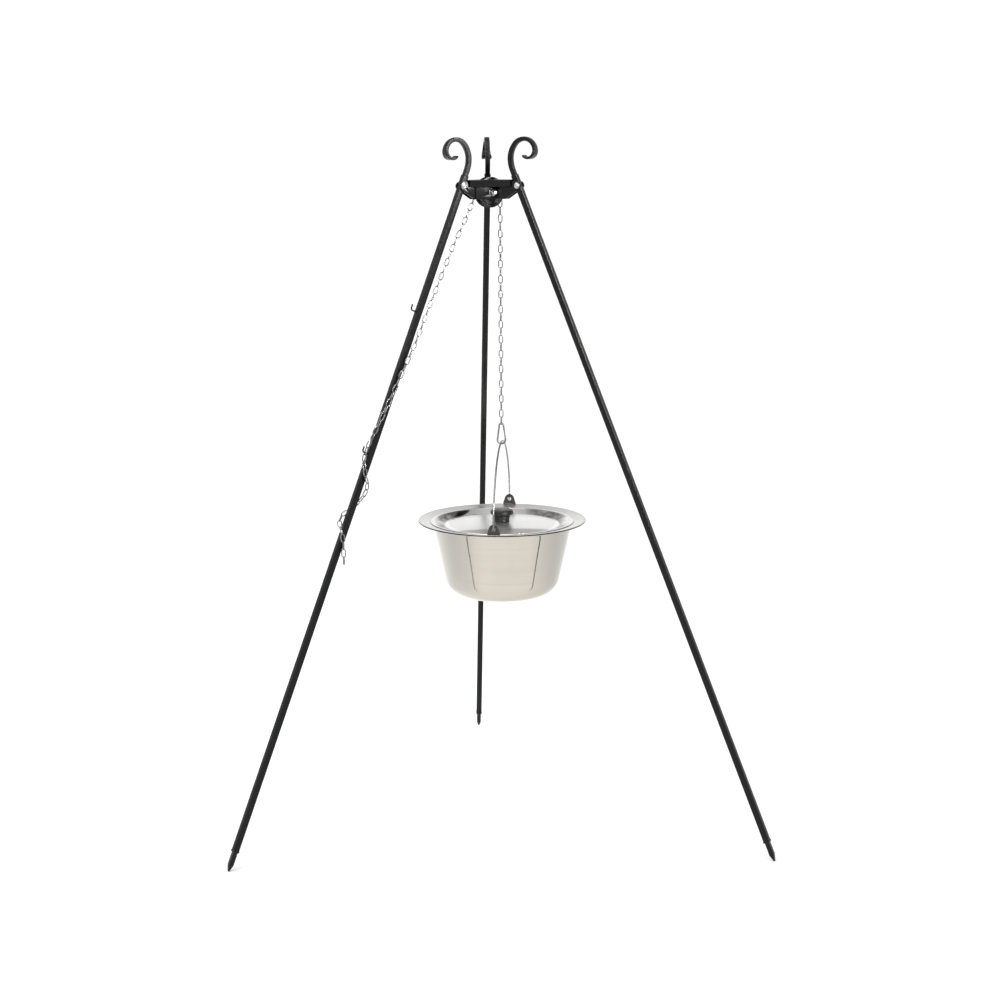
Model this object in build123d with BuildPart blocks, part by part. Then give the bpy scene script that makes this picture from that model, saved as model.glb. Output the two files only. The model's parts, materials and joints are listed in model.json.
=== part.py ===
from build123d import *
from math import asin, atan2, cos, degrees, hypot, radians, sin, tan
import os

# A folding campfire tripod that hangs a lidded pot on a chain. The chain runs over a roller in
# the hub and is caught on a hook on the left leg. Millimetres, +Z up, front towards -Y. The
# origin is on the ground, straight under the middle of the hub.

# Tripod
LEG_AZIMUTHS = {"left": 210.0, "right": 330.0, "rear": 90.0}
FOOT_RADIUS = 790.0
PIVOT_RADIUS = 84.0
PIVOT_HEIGHT = 1678.0
LEAN = atan2(FOOT_RADIUS - PIVOT_RADIUS, PIVOT_HEIGHT)
LEG_REACH = hypot(FOOT_RADIUS - PIVOT_RADIUS, PIVOT_HEIGHT)

# Legs
TUBE_SIDE = 16.0
TUBE_WALL = 1.5
TUBE_CORNER = 2.0
TUBE_TOP = 27.0
TUBE_END = LEG_REACH - 55.0
BAR_SIDE = 12.6
BORE_RADIUS = 4.08

# Spike at the foot of each leg
COLLAR_SIDE = 17.0
COLLAR_THICKNESS = 4.0
PRISM_SIDE = 12.0
POINT_LENGTH = 18.0
TIP_SIDE = 3.5

# Scroll at the top of each leg: radius, start and end angle from the vertical, end thickness
SCROLL_START = 42.3
SCROLL_ARCS = (
    (75.0, -degrees(LEAN), 0.0, 12.6),
    (58.0, 0.0, 40.0, 12.0),
    (33.0, 40.0, 90.0, 11.0),
    (30.0, 90.0, 180.0, 8.0),
    (18.5, 180.0, 270.0, 6.0),
    (15.0, 270.0, 330.0, 3.0),
)
SCROLL_STEPS = 4

# Chain hooks on the left leg, measured down the leg from its pivot
HOOK_ROD = 2.0
UPPER_HOOK = 341.0
LOWER_HOOK = 720.2
HOOK_REACH = 16.0
HOOK_RISE = 15.0

# Hub
CAP_TOP = 1693.0
CAP_THICKNESS = 3.0
CAP_CORNER_REACH = 68.4
CAP_CORNER_HALF = 17.0
CAP_FLANGE = 17.0
SLOT_LENGTH = 60.0
SLOT_WIDTH = 26.0
PLATE = 3.0
EAR_GAP = 16.6
EAR_END_RADIUS = 11.0
EAR_INNER = 42.0
EAR_LOW_END = 52.0
EAR_BOTTOM = 1644.0
CHEEK_GAP = 23.0
CHEEK_BACK = -32.0
CHEEK_FRONT = 50.0

# Roller and its bolt
ROLLER_AZIMUTH = 30.0
ROLLER_HEIGHT = 1661.0
ROLLER_RADIUS = 39.0
ROLLER_WIDTH = 21.0
GROOVE_RADIUS = 26.8
GROOVE_FLOOR = 11.0
GROOVE_MOUTH = 16.0
AXLE_RADIUS = 5.0
AXLE_CLEARANCE = 0.08
NUT_ACROSS_FLATS = 16.0

# Pivot bolts
BOLT_RADIUS = 4.0
HEAD_RADIUS = 7.0
HEAD_HEIGHT = 4.4
PIVOT_NUT_ACROSS_FLATS = 13.0
PIVOT_NUT_HEIGHT = 8.0
WASHER_RADIUS = 8.0
WASHER_THICKNESS = 1.2

# Chain
PITCH = 19.5
WIRE = 1.5
LINK_HALF_WIDTH = 4.75
LINK_PLAY = 0.4
CHAIN_RADIUS = 33.5
HANGING_LINKS = 31
LIFTING_LINKS = 16

# Carabiner
SNAP_WIRE = 2.5
SNAP_TOP_RADIUS = 5.5
SNAP_BOTTOM_RADIUS = 10.5
SNAP_CENTRES = 37.6
SNAP_AZIMUTH = 351.0
GATE_PIN_DOWN = 8.0
GATE_LENGTH = 24.0
TONGUE_THICKNESS = 2.0

# Pot, lid and bail
BASE_HEIGHT = 603.5
BASE_RADIUS = 98.0
RIM_HEIGHT = 803.0
RIM_RADIUS = 219.0
POT_WALL = 1.2
LID_RADIUS = 188.0
LID_HEIGHT = 799.9
LID_CROWN = 797.5
LID_WALL = 1.0
LUG_RADIUS = 216.0
LUG_THICKNESS = 2.5
LUG_WIDTH = 34.0
LUG_TOP_RADIUS = 13.0
LUG_HOLE_HEIGHT = 818.5
BAIL_AZIMUTH = 81.0
BAIL_WIRE = 2.5
BAIL_HALF_SPAN = 222.0

os.makedirs("parts", exist_ok=True)


def save(piece, name):
    piece.part.label = name
    export_step(piece.part, f"parts/{name}.step")


def direction(azimuth):
    return Vector(cos(radians(azimuth)), sin(radians(azimuth)), 0)


def upright_plane(azimuth, origin=(0, 0, 0)):
    """X runs outwards along the azimuth, Y straight up, Z across it, to azimuth - 90."""
    return Plane(origin=origin, x_dir=direction(azimuth), z_dir=direction(azimuth - 90))


def pivot_point(azimuth):
    return direction(azimuth) * PIVOT_RADIUS + Vector(0, 0, PIVOT_HEIGHT)


def leg_side_plane(azimuth):
    """X runs square out of the leg's outer face, Y up along the leg, Z across it."""
    out = direction(azimuth) * cos(LEAN) + Vector(0, 0, sin(LEAN))
    return Plane(origin=pivot_point(azimuth), x_dir=out, z_dir=direction(azimuth - 90))


def leg_section_plane(azimuth, along):
    """Square across the leg, at a distance up it from the pivot."""
    side = leg_side_plane(azimuth)
    return Plane(origin=side.origin + side.y_dir * along, x_dir=side.x_dir, z_dir=side.y_dir)


# ---------------------------------------------------------------- legs
def make_leg_tube(azimuth):
    with BuildPart() as tube:
        with BuildSketch(leg_section_plane(azimuth, -TUBE_END)):
            RectangleRounded(TUBE_SIDE, TUBE_SIDE, TUBE_CORNER)
            inner = TUBE_SIDE - 2 * TUBE_WALL
            Rectangle(inner, inner, mode=Mode.SUBTRACT)
        extrude(amount=TUBE_END + TUBE_TOP)
        with BuildSketch(leg_side_plane(azimuth)):
            Circle(BORE_RADIUS)
        extrude(amount=TUBE_SIDE, both=True, mode=Mode.SUBTRACT)
    return tube


def make_spike(azimuth):
    shank = 40.0
    tip = LEG_REACH - TIP_SIDE / 2 * tan(LEAN)
    point_start = LEG_REACH - POINT_LENGTH
    with BuildPart() as spike:
        with BuildSketch(leg_section_plane(azimuth, -TUBE_END - 0.1)):
            Rectangle(BAR_SIDE, BAR_SIDE)
        extrude(amount=shank)
        with BuildSketch(leg_section_plane(azimuth, -TUBE_END - 0.1)):
            RectangleRounded(COLLAR_SIDE, COLLAR_SIDE, 1.0)
        extrude(amount=-COLLAR_THICKNESS)
        with BuildSketch(leg_section_plane(azimuth, -TUBE_END - COLLAR_THICKNESS)):
            Rectangle(PRISM_SIDE, PRISM_SIDE)
        extrude(amount=TUBE_END + COLLAR_THICKNESS - point_start)
        with BuildSketch(leg_section_plane(azimuth, -point_start)):
            Rectangle(PRISM_SIDE, PRISM_SIDE)
        with BuildSketch(leg_section_plane(azimuth, -tip)):
            Rectangle(TIP_SIDE, TIP_SIDE)
        loft()
    return spike


def scroll_edges():
    """Points up the outer edge and up the inner edge of the scroll, from its pivot."""
    u, z = -SCROLL_START * sin(LEAN), SCROLL_START * cos(LEAN)
    thickness = BAR_SIDE
    outer, inner = [], []
    for radius, start, end, end_thickness in SCROLL_ARCS:
        start_thickness = thickness
        for step in range(SCROLL_STEPS):
            before = radians(start + (end - start) * step / SCROLL_STEPS)
            after = radians(start + (end - start) * (step + 1) / SCROLL_STEPS)
            u += radius * (cos(before) - cos(after))
            z += radius * (sin(after) - sin(before))
            share = (step + 1) / SCROLL_STEPS
            thickness = start_thickness + (end_thickness - start_thickness) * share
            square_u, square_z = cos(after) * thickness / 2, -sin(after) * thickness / 2
            outer.append((u - square_u, z - square_z))
            inner.append((u + square_u, z + square_z))
    return outer, inner


def make_scroll(azimuth):
    outer, inner = scroll_edges()
    up = (-sin(LEAN), cos(LEAN))
    across = (cos(LEAN) * BAR_SIDE / 2, sin(LEAN) * BAR_SIDE / 2)
    low = BORE_RADIUS + 3
    with BuildPart() as scroll:
        with BuildSketch(upright_plane(azimuth, pivot_point(azimuth))):
            with BuildLine():
                foot_out = (up[0] * low - across[0], up[1] * low - across[1])
                foot_in = (up[0] * low + across[0], up[1] * low + across[1])
                neck_out = (up[0] * SCROLL_START - across[0], up[1] * SCROLL_START - across[1])
                neck_in = (up[0] * SCROLL_START + across[0], up[1] * SCROLL_START + across[1])
                Line(foot_in, foot_out)
                Line(foot_out, neck_out)
                Spline(neck_out, *outer)
                Line(outer[-1], inner[-1])
                Spline(*reversed(inner), neck_in)
                Line(neck_in, foot_in)
            make_face()
        extrude(amount=BAR_SIDE / 2, both=True)
    return scroll


def make_hook(distance):
    side = leg_side_plane(LEG_AZIMUTHS["left"])
    face = TUBE_SIDE / 2
    bend = 5.5
    with BuildPart() as hook:
        with BuildLine(side) as rod:
            stem = Line((face, -distance), (face + HOOK_REACH - bend, -distance))
            turn = TangentArc(stem @ 1, (face + HOOK_REACH, bend - distance), tangent=stem % 1)
            Line(turn @ 1, (face + HOOK_REACH, HOOK_RISE - distance))
        with BuildSketch(Plane(origin=rod.line @ 0, z_dir=rod.line % 0)):
            Circle(HOOK_ROD)
        sweep(path=rod.line)
    return hook


for side_name, leg_azimuth in LEG_AZIMUTHS.items():
    save(make_leg_tube(leg_azimuth), f"{side_name}_leg_tube")
    save(make_spike(leg_azimuth), f"{side_name}_spike")
    save(make_scroll(leg_azimuth), f"{side_name}_scroll")
save(make_hook(UPPER_HOOK), "upper_hook")
save(make_hook(LOWER_HOOK), "lower_hook")


# ---------------------------------------------------------------- hub
def cap_corner(azimuth, side):
    across = direction(azimuth + 90) * (CAP_CORNER_HALF * side)
    return direction(azimuth) * CAP_CORNER_REACH + across


corners = [cap_corner(azimuth, side) for azimuth in (90, 210, 330) for side in (-1, 1)]
roller_centre = (0, 0, ROLLER_HEIGHT)

with BuildPart() as cap_plate:
    with BuildSketch(Plane.XY.offset(CAP_TOP)):
        Polygon(*[(p.X, p.Y) for p in corners], align=None)
    extrude(amount=-CAP_THICKNESS)
    for near, far in ((1, 2), (3, 4), (5, 0)):
        run = corners[far] - corners[near]
        middle = (corners[near] + corners[far]) / 2
        outward = Vector(middle.X, middle.Y, 0).normalized()
        flange_plane = Plane(
            origin=middle + Vector(0, 0, CAP_TOP - CAP_FLANGE / 2), x_dir=run, z_dir=outward
        )
        with BuildSketch(flange_plane):
            RectangleRounded(run.length, CAP_FLANGE, 2.5)
        extrude(amount=-PLATE)
    with BuildSketch(Plane(origin=(0, 0, CAP_TOP), x_dir=direction(ROLLER_AZIMUTH), z_dir=(0, 0, 1))):
        RectangleRounded(SLOT_LENGTH, SLOT_WIDTH, 4)
    extrude(amount=-CAP_THICKNESS, mode=Mode.SUBTRACT)
save(cap_plate, "cap_plate")


def make_arm(azimuth):
    ear_top = CAP_TOP - CAP_THICKNESS
    with BuildPart() as arm:
        for face in (EAR_GAP / 2, -EAR_GAP / 2 - PLATE):
            with BuildSketch(upright_plane(azimuth).offset(face)):
                with Locations((PIVOT_RADIUS, PIVOT_HEIGHT)):
                    Circle(EAR_END_RADIUS)
                with Locations(((EAR_INNER + EAR_LOW_END) / 2, (EAR_BOTTOM + ear_top) / 2)):
                    Rectangle(EAR_LOW_END - EAR_INNER, ear_top - EAR_BOTTOM)
                make_hull()
                with Locations((PIVOT_RADIUS, PIVOT_HEIGHT)):
                    Circle(BORE_RADIUS, mode=Mode.SUBTRACT)
            extrude(amount=PLATE)
    return arm


for side_name, leg_azimuth in LEG_AZIMUTHS.items():
    save(make_arm(leg_azimuth), f"{side_name}_arm")

with BuildPart() as roller_cheeks:
    for face in (CHEEK_GAP / 2, -CHEEK_GAP / 2 - PLATE):
        with BuildSketch(upright_plane(LEG_AZIMUTHS["left"]).offset(face)):
            with Locations(((CHEEK_BACK + CHEEK_FRONT) / 2, (EAR_BOTTOM + CAP_TOP - CAP_THICKNESS) / 2)):
                RectangleRounded(CHEEK_FRONT - CHEEK_BACK, CAP_TOP - CAP_THICKNESS - EAR_BOTTOM, 5)
            with Locations((0, ROLLER_HEIGHT)):
                Circle(AXLE_RADIUS + AXLE_CLEARANCE, mode=Mode.SUBTRACT)
        extrude(amount=PLATE)
save(roller_cheeks, "roller_cheeks")


# Each pivot bolt's head is on the side that its leg shows to the front or to the right.
HEAD_SIDES = {"left": -1, "right": 1, "rear": 1}
ear_face = EAR_GAP / 2 + PLATE

for side_name, leg_azimuth in LEG_AZIMUTHS.items():
    across = upright_plane(leg_azimuth, pivot_point(leg_azimuth))
    sign = HEAD_SIDES[side_name]
    bolt_axis = across.z_dir * sign
    head_plane = Plane(origin=across.origin + bolt_axis * (ear_face + WASHER_THICKNESS), z_dir=bolt_axis)
    nut_plane = Plane(origin=across.origin - bolt_axis * (ear_face + WASHER_THICKNESS), z_dir=-bolt_axis)
    shank_length = 2 * (ear_face + WASHER_THICKNESS) + PIVOT_NUT_HEIGHT + 1.5
    with BuildPart() as pivot_bolt:
        with BuildSketch(head_plane):
            Circle(HEAD_RADIUS)
        extrude(amount=HEAD_HEIGHT)
        with BuildSketch(head_plane):
            Circle(BOLT_RADIUS)
        extrude(amount=-shank_length)
        with BuildSketch(head_plane.offset(HEAD_HEIGHT)):
            RegularPolygon(2.5, 6, major_radius=False)
        extrude(amount=-2.5, mode=Mode.SUBTRACT)
    save(pivot_bolt, f"{side_name}_pivot_bolt")
    with BuildPart() as pivot_nut:
        with BuildSketch(nut_plane):
            RegularPolygon(PIVOT_NUT_ACROSS_FLATS / 2, 6, major_radius=False)
            Circle(BOLT_RADIUS, mode=Mode.SUBTRACT)
        extrude(amount=PIVOT_NUT_HEIGHT)
    save(pivot_nut, f"{side_name}_pivot_nut")
    with BuildPart() as pivot_washers:
        for plane in (head_plane, nut_plane):
            with BuildSketch(plane):
                Circle(WASHER_RADIUS)
                Circle(BOLT_RADIUS + 0.2, mode=Mode.SUBTRACT)
            extrude(amount=-WASHER_THICKNESS)
    save(pivot_washers, f"{side_name}_pivot_washers")

# ---------------------------------------------------------------- roller
across_roller = Plane(origin=roller_centre, x_dir=(0, 0, 1), z_dir=direction(ROLLER_AZIMUTH - 90))
cheek_face = CHEEK_GAP / 2 + PLATE

with BuildPart() as chain_roller:
    with BuildSketch(Plane(origin=roller_centre, x_dir=across_roller.z_dir, z_dir=direction(ROLLER_AZIMUTH))):
        with BuildLine():
            Polyline(
                (-ROLLER_WIDTH / 2, AXLE_RADIUS + AXLE_CLEARANCE),
                (-ROLLER_WIDTH / 2, ROLLER_RADIUS),
                (-GROOVE_MOUTH / 2, ROLLER_RADIUS),
                (-GROOVE_FLOOR / 2, GROOVE_RADIUS),
                (GROOVE_FLOOR / 2, GROOVE_RADIUS),
                (GROOVE_MOUTH / 2, ROLLER_RADIUS),
                (ROLLER_WIDTH / 2, ROLLER_RADIUS),
                (ROLLER_WIDTH / 2, AXLE_RADIUS + AXLE_CLEARANCE),
                close=True,
            )
        make_face()
    revolve(axis=Axis(roller_centre, across_roller.z_dir))
save(chain_roller, "chain_roller")

with BuildPart() as roller_bolt:
    with BuildSketch(across_roller.offset(-cheek_face - WASHER_THICKNESS)):
        RegularPolygon(NUT_ACROSS_FLATS / 2, 6, major_radius=False)
    extrude(amount=-6.4)
    with BuildSketch(across_roller.offset(-cheek_face - WASHER_THICKNESS)):
        Circle(AXLE_RADIUS)
    extrude(amount=2 * (cheek_face + WASHER_THICKNESS) + 15)
save(roller_bolt, "roller_bolt")

with BuildPart() as roller_nut:
    with BuildSketch(across_roller.offset(cheek_face + WASHER_THICKNESS)):
        RegularPolygon(NUT_ACROSS_FLATS / 2, 6, major_radius=False)
        Circle(AXLE_RADIUS, mode=Mode.SUBTRACT)
    extrude(amount=8)
save(roller_nut, "roller_nut")

with BuildPart() as roller_washers:
    for face in (cheek_face, -cheek_face - WASHER_THICKNESS):
        with BuildSketch(across_roller.offset(face)):
            Circle(AXLE_RADIUS + 5)
            Circle(AXLE_RADIUS + 0.2, mode=Mode.SUBTRACT)
        extrude(amount=WASHER_THICKNESS)
save(roller_washers, "roller_washers")

# ---------------------------------------------------------------- chain
# Each link spans two crossings, the points where it meets its neighbours.
link_half_length = (PITCH + 2 * WIRE + LINK_PLAY) / 2
straight_half = link_half_length - LINK_HALF_WIDTH

with BuildPart() as link:
    with BuildLine(Plane.XZ) as link_path:
        rising = Line((LINK_HALF_WIDTH, -straight_half), (LINK_HALF_WIDTH, straight_half))
        over = TangentArc(rising @ 1, (-LINK_HALF_WIDTH, straight_half), tangent=rising % 1)
        falling = Line(over @ 1, (-LINK_HALF_WIDTH, -straight_half))
        TangentArc(falling @ 1, rising @ 0, tangent=falling % 1)
    with BuildSketch(Plane(origin=(LINK_HALF_WIDTH, 0, -straight_half), z_dir=(0, 0, 1))):
        Circle(WIRE)
    sweep(path=link_path.line)


def link_places(crossings, turn, last_width=None):
    """One place per link. Its width makes 45 degrees with the roller's axle, each way in turn.

    With last_width, the chain also twists evenly so that its last link's width lies that way.
    """
    twist = 0.0
    for _ in range(2):
        reference = direction(ROLLER_AZIMUTH - 90)
        side, places = turn, []
        for number, (start, end) in enumerate(zip(crossings, crossings[1:])):
            along = (end - start).normalized()
            reference = (reference - along * reference.dot(along)).normalized()
            width = reference.rotate(Axis((0, 0, 0), along), side * 45 + twist * number)
            places.append(Plane(origin=(start + end) / 2, x_dir=width, z_dir=along).location)
            side = -side
        if last_width:
            off = degrees(atan2(width.cross(last_width).dot(along), width.dot(last_width)))
            twist += ((off + 90) % 180 - 90) / number
    return places, side


def make_chain(places):
    with BuildPart() as strand:
        with Locations(*places):
            add(link.part)
    return strand


def on_roller(angle):
    """A point of the chain's line round the roller, by its angle up from the hanging side."""
    out = direction(ROLLER_AZIMUTH) * (CHAIN_RADIUS * cos(angle))
    return out + Vector(0, 0, ROLLER_HEIGHT + CHAIN_RADIUS * sin(angle))


def leg_point(out, along, across):
    """A point by the left leg: out of its outer face's side, up along it, and to its front."""
    side = leg_side_plane(LEG_AZIMUTHS["left"])
    return side.origin + side.x_dir * out + side.y_dir * along - side.z_dir * across


def crossings_along(route):
    """Points a pitch apart, in a straight line from one to the next."""
    found, low = [route @ 0], 0.0
    while (route @ 1 - found[-1]).length > PITCH:
        near, far = low, min(1.0, low + 2 * PITCH / route.length)
        for _ in range(40):
            middle = (near + far) / 2
            if (route @ middle - found[-1]).length < PITCH:
                near = middle
            else:
                far = middle
        low = far
        found.append(route @ far)
    return found


hang_top = on_roller(0)
hanging = [hang_top - Vector(0, 0, PITCH * n) for n in range(HANGING_LINKS, -1, -1)]
step_angle = 2 * asin(PITCH / 2 / CHAIN_RADIUS)
over_roller = [on_roller(step_angle * n) for n in range(5)]

hook_out = TUBE_SIDE / 2 + 6.5
hooked_top = leg_point(hook_out, 14.4 - LOWER_HOOK, 0)
hooked_end = leg_point(hook_out, 14.4 - PITCH - LOWER_HOOK, 0)
tail_route = Spline(
    over_roller[-1],
    on_roller(radians(152.5)),
    leg_point(-46, -30, 0.5),
    leg_point(-34, -140, 2.5),
    leg_point(-26, -240, 5.5),
    leg_point(-19, -330, 9.0),
    leg_point(-14.5, -400, 12.6),
    leg_point(-9, -450, 14.6),
    leg_point(-2, -510, 15.0),
    leg_point(7, -590, 15.0),
    leg_point(13, -640, 14.0),
    leg_point(16, 34 - LOWER_HOOK, 7.5),
    hooked_top,
)
tail = crossings_along(tail_route)
print("links down to the hook", len(tail) - 1, "left over", (tail_route @ 1 - tail[-1]).length)
tail[-1] = hooked_top

end_route = Spline(
    hooked_end,
    leg_point(17, -LOWER_HOOK - 21, 8.5),
    leg_point(11.5, -LOWER_HOOK - 38, 15.5),
    leg_point(-4, -LOWER_HOOK - 63, 16),
    leg_point(-16, -LOWER_HOOK - 78, 12),
    leg_point(-22, -LOWER_HOOK - 96, 2),
    leg_point(-22, -LOWER_HOOK - 114, -8),
    leg_point(-14, -LOWER_HOOK - 134, -16),
    leg_point(0, -LOWER_HOOK - 154, -18),
    leg_point(14.5, -LOWER_HOOK - 172, -13),
    leg_point(21, -LOWER_HOOK - 189, 1),
    leg_point(17, -LOWER_HOOK - 205, 13),
    leg_point(7, -LOWER_HOOK - 219, 16),
    leg_point(0, -LOWER_HOOK - 233, 16),
    leg_point(-6, -LOWER_HOOK - 247, 16),
    leg_point(-13, -LOWER_HOOK - 263, 16),
    leg_point(-20, -LOWER_HOOK - 279, 16),
    leg_point(-29, -LOWER_HOOK - 300, 16),
)
free_end = crossings_along(end_route)
free_end[0] = hooked_end

hanging_places, turn = link_places(hanging, -1)
lower_count = HANGING_LINKS - LIFTING_LINKS
save(make_chain(hanging_places[:lower_count]), "hanging_chain_lower")
save(make_chain(hanging_places[lower_count:]), "hanging_chain_upper")
roller_places, turn = link_places(over_roller, turn)
save(make_chain(roller_places), "roller_chain")
tail_places, turn = link_places(tail, turn, leg_side_plane(LEG_AZIMUTHS["left"]).x_dir)
save(make_chain(tail_places), "tail_chain")

hook_width = direction(LEG_AZIMUTHS["left"] + 90)
hook_place = Plane(
    origin=(hooked_top + hooked_end) / 2, x_dir=hook_width, z_dir=hooked_end - hooked_top
).location
end_places = [hook_place]
reference = leg_side_plane(LEG_AZIMUTHS["left"]).x_dir
flat = False
for start, end in zip(free_end, free_end[1:]):
    along = (end - start).normalized()
    reference = (reference - along * reference.dot(along)).normalized()
    width = along.cross(reference) if flat else reference
    end_places.append(Plane(origin=(start + end) / 2, x_dir=width, z_dir=along).location)
    flat = not flat
save(make_chain(end_places), "free_chain_end")
print("links", len(hanging_places) + len(roller_places) + len(tail_places) + len(end_places))

# ---------------------------------------------------------------- carabiner
snap_top = hanging[0].Z - (2 * WIRE + LINK_PLAY) / 2 + WIRE + SNAP_WIRE + LINK_PLAY
snap_plane = upright_plane(SNAP_AZIMUTH, (hang_top.X, hang_top.Y, snap_top - SNAP_TOP_RADIUS))
taper = asin((SNAP_BOTTOM_RADIUS - SNAP_TOP_RADIUS) / SNAP_CENTRES)
side_start = (SNAP_TOP_RADIUS * cos(taper), SNAP_TOP_RADIUS * sin(taper))
side_end = (SNAP_BOTTOM_RADIUS * cos(taper), SNAP_BOTTOM_RADIUS * sin(taper) - SNAP_CENTRES)
side_length = hypot(side_end[0] - side_start[0], side_end[1] - side_start[1])
side_way = ((side_end[0] - side_start[0]) / side_length, (side_end[1] - side_start[1]) / side_length)


def on_gate_side(distance):
    return (side_start[0] + side_way[0] * distance, side_start[1] + side_way[1] * distance)


gate_pin = on_gate_side(GATE_PIN_DOWN)
gate_pin_point = snap_plane.from_local_coords((gate_pin[0], gate_pin[1], 0))
gate_way = snap_plane.x_dir * side_way[0] + snap_plane.y_dir * side_way[1]

with BuildPart() as carabiner_body:
    with BuildLine(snap_plane) as snap_path:
        nose = Line(on_gate_side(GATE_PIN_DOWN + GATE_LENGTH + 0.5), side_end)
        bowl_low = snap_plane.from_local_coords((0, -SNAP_CENTRES - SNAP_BOTTOM_RADIUS, 0))
        bowl_end = snap_plane.from_local_coords((-side_end[0], side_end[1], 0))
        ThreePointArc(nose @ 1, bowl_low, bowl_end)
        back = Line((-side_end[0], side_end[1]), (-side_start[0], side_start[1]))
        eye_high = snap_plane.from_local_coords((0, SNAP_TOP_RADIUS, 0))
        eye_end = snap_plane.from_local_coords((side_start[0], side_start[1], 0))
        ThreePointArc(back @ 1, eye_high, eye_end)
        Line(side_start, on_gate_side(GATE_PIN_DOWN - 3.4))
    with BuildSketch(Plane(origin=snap_path.line @ 0, z_dir=snap_path.line % 0)):
        Circle(SNAP_WIRE)
    sweep(path=snap_path.line)
    tongue_plane = Plane(origin=gate_pin_point, x_dir=gate_way, z_dir=snap_plane.z_dir)
    with BuildSketch(tongue_plane.offset(-TONGUE_THICKNESS / 2)):
        Circle(2.1)
        with Locations((-2.2, 0)):
            Rectangle(4.4, 3.6)
        Circle(1.03, mode=Mode.SUBTRACT)
    extrude(amount=TONGUE_THICKNESS)
save(carabiner_body, "carabiner_body")

with BuildPart() as carabiner_gate:
    with BuildSketch(tongue_plane):
        with BuildLine():
            RadiusArc((-SNAP_WIRE, 0), (0, SNAP_WIRE), SNAP_WIRE)
            Polyline((0, SNAP_WIRE), (GATE_LENGTH, SNAP_WIRE), (GATE_LENGTH, 0), (-SNAP_WIRE, 0))
        make_face()
    revolve(axis=Axis(gate_pin_point, gate_way))
    with BuildSketch(tongue_plane.offset(-TONGUE_THICKNESS / 2 - 0.2)):
        Rectangle(6.4, 8)
    extrude(amount=TONGUE_THICKNESS + 0.4, mode=Mode.SUBTRACT)
    with BuildSketch(tongue_plane):
        Circle(1.0)
    extrude(amount=4, both=True, mode=Mode.SUBTRACT)
save(carabiner_gate, "carabiner_gate")

with BuildPart() as gate_rivet:
    with BuildSketch(tongue_plane.offset(-2.3)):
        Circle(0.95)
    extrude(amount=4.6)
save(gate_rivet, "gate_rivet")

# ---------------------------------------------------------------- bail
bail_plane = upright_plane(BAIL_AZIMUTH, (hang_top.X, hang_top.Y, 0))
snap_bottom = snap_top - SNAP_TOP_RADIUS - SNAP_CENTRES - SNAP_BOTTOM_RADIUS
bail_top = snap_bottom + SNAP_WIRE + BAIL_WIRE + 0.3
bend = 6.0
shoulder = radians(30)
shoulder_start = LUG_HOLE_HEIGHT + bend
rise = bail_top - shoulder_start
# The two radii of the arch follow from its half span and its rise.
crown_radius = (BAIL_HALF_SPAN - rise / sin(shoulder) * (1 - cos(shoulder))) / (
    cos(shoulder) - (1 - sin(shoulder)) / sin(shoulder) * (1 - cos(shoulder))
)
shoulder_radius = (rise - crown_radius * (1 - sin(shoulder))) / sin(shoulder)


def bail_side(sign):
    """The arch's points on one side, from the lug hole to the shoulder's end."""
    shoulder_out = BAIL_HALF_SPAN - shoulder_radius * (1 - cos(shoulder))
    shoulder_up = shoulder_start + shoulder_radius * sin(shoulder)
    return (
        (sign * (LUG_RADIUS - 12), LUG_HOLE_HEIGHT),
        (sign * (BAIL_HALF_SPAN - bend), LUG_HOLE_HEIGHT),
        (sign * BAIL_HALF_SPAN, shoulder_start),
        (sign * shoulder_out, shoulder_up),
    )


with BuildPart() as bail_wire:
    with BuildLine(bail_plane) as bail_path:
        right, left = bail_side(1), bail_side(-1)
        wire = first = Line(right[0], right[1])
        for point in (right[2], right[3], (0, bail_top), left[3], left[2], left[1]):
            wire = TangentArc(wire @ 1, point, tangent=wire % 1)
        Line(wire @ 1, left[0])
    with BuildSketch(Plane(origin=first @ 0, z_dir=first % 0)):
        Circle(BAIL_WIRE)
    sweep(path=bail_path.line)
save(bail_wire, "bail_wire")

# ---------------------------------------------------------------- pot
pot_axis = Axis((hang_top.X, hang_top.Y, 0), (0, 0, 1))
pot_profile = upright_plane(0, (hang_top.X, hang_top.Y, 0))

with BuildPart() as pot_shell:
    with BuildSketch(pot_profile):
        with BuildLine():
            base = Line((0, BASE_HEIGHT), (BASE_RADIUS, BASE_HEIGHT))
            heel = TangentArc(base @ 1, (151, BASE_HEIGHT + 42), tangent=base % 1)
            wall = Line(heel @ 1, (183.2, RIM_HEIGHT - 13))
            throat = TangentArc(wall @ 1, (191.7, RIM_HEIGHT - 4.8), tangent=wall % 1)
            Line(throat @ 1, (RIM_RADIUS, RIM_HEIGHT))
            offset(amount=POT_WALL, side=Side.LEFT, closed=True)
        make_face()
        with Locations((RIM_RADIUS, RIM_HEIGHT - 0.6)):
            Circle(2.0)
    revolve(axis=pot_axis)
save(pot_shell, "pot_shell")


def make_lug(azimuth):
    plane = Plane(
        origin=(hang_top.X, hang_top.Y, 0) + direction(azimuth) * LUG_RADIUS,
        x_dir=direction(azimuth + 90),
        z_dir=direction(azimuth),
    )
    foot = RIM_HEIGHT + 1.4
    with BuildPart() as lug:
        with BuildSketch(plane.offset(-LUG_THICKNESS / 2)):
            with Locations((0, foot + 2)):
                Rectangle(LUG_WIDTH, 4)
            with Locations((0, LUG_HOLE_HEIGHT)):
                Circle(LUG_TOP_RADIUS)
            make_hull()
            with Locations((0, LUG_HOLE_HEIGHT)):
                Circle(4.7, mode=Mode.SUBTRACT)
        extrude(amount=LUG_THICKNESS)
    return lug


save(make_lug(BAIL_AZIMUTH + 180), "front_lug")
save(make_lug(BAIL_AZIMUTH), "rear_lug")

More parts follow.
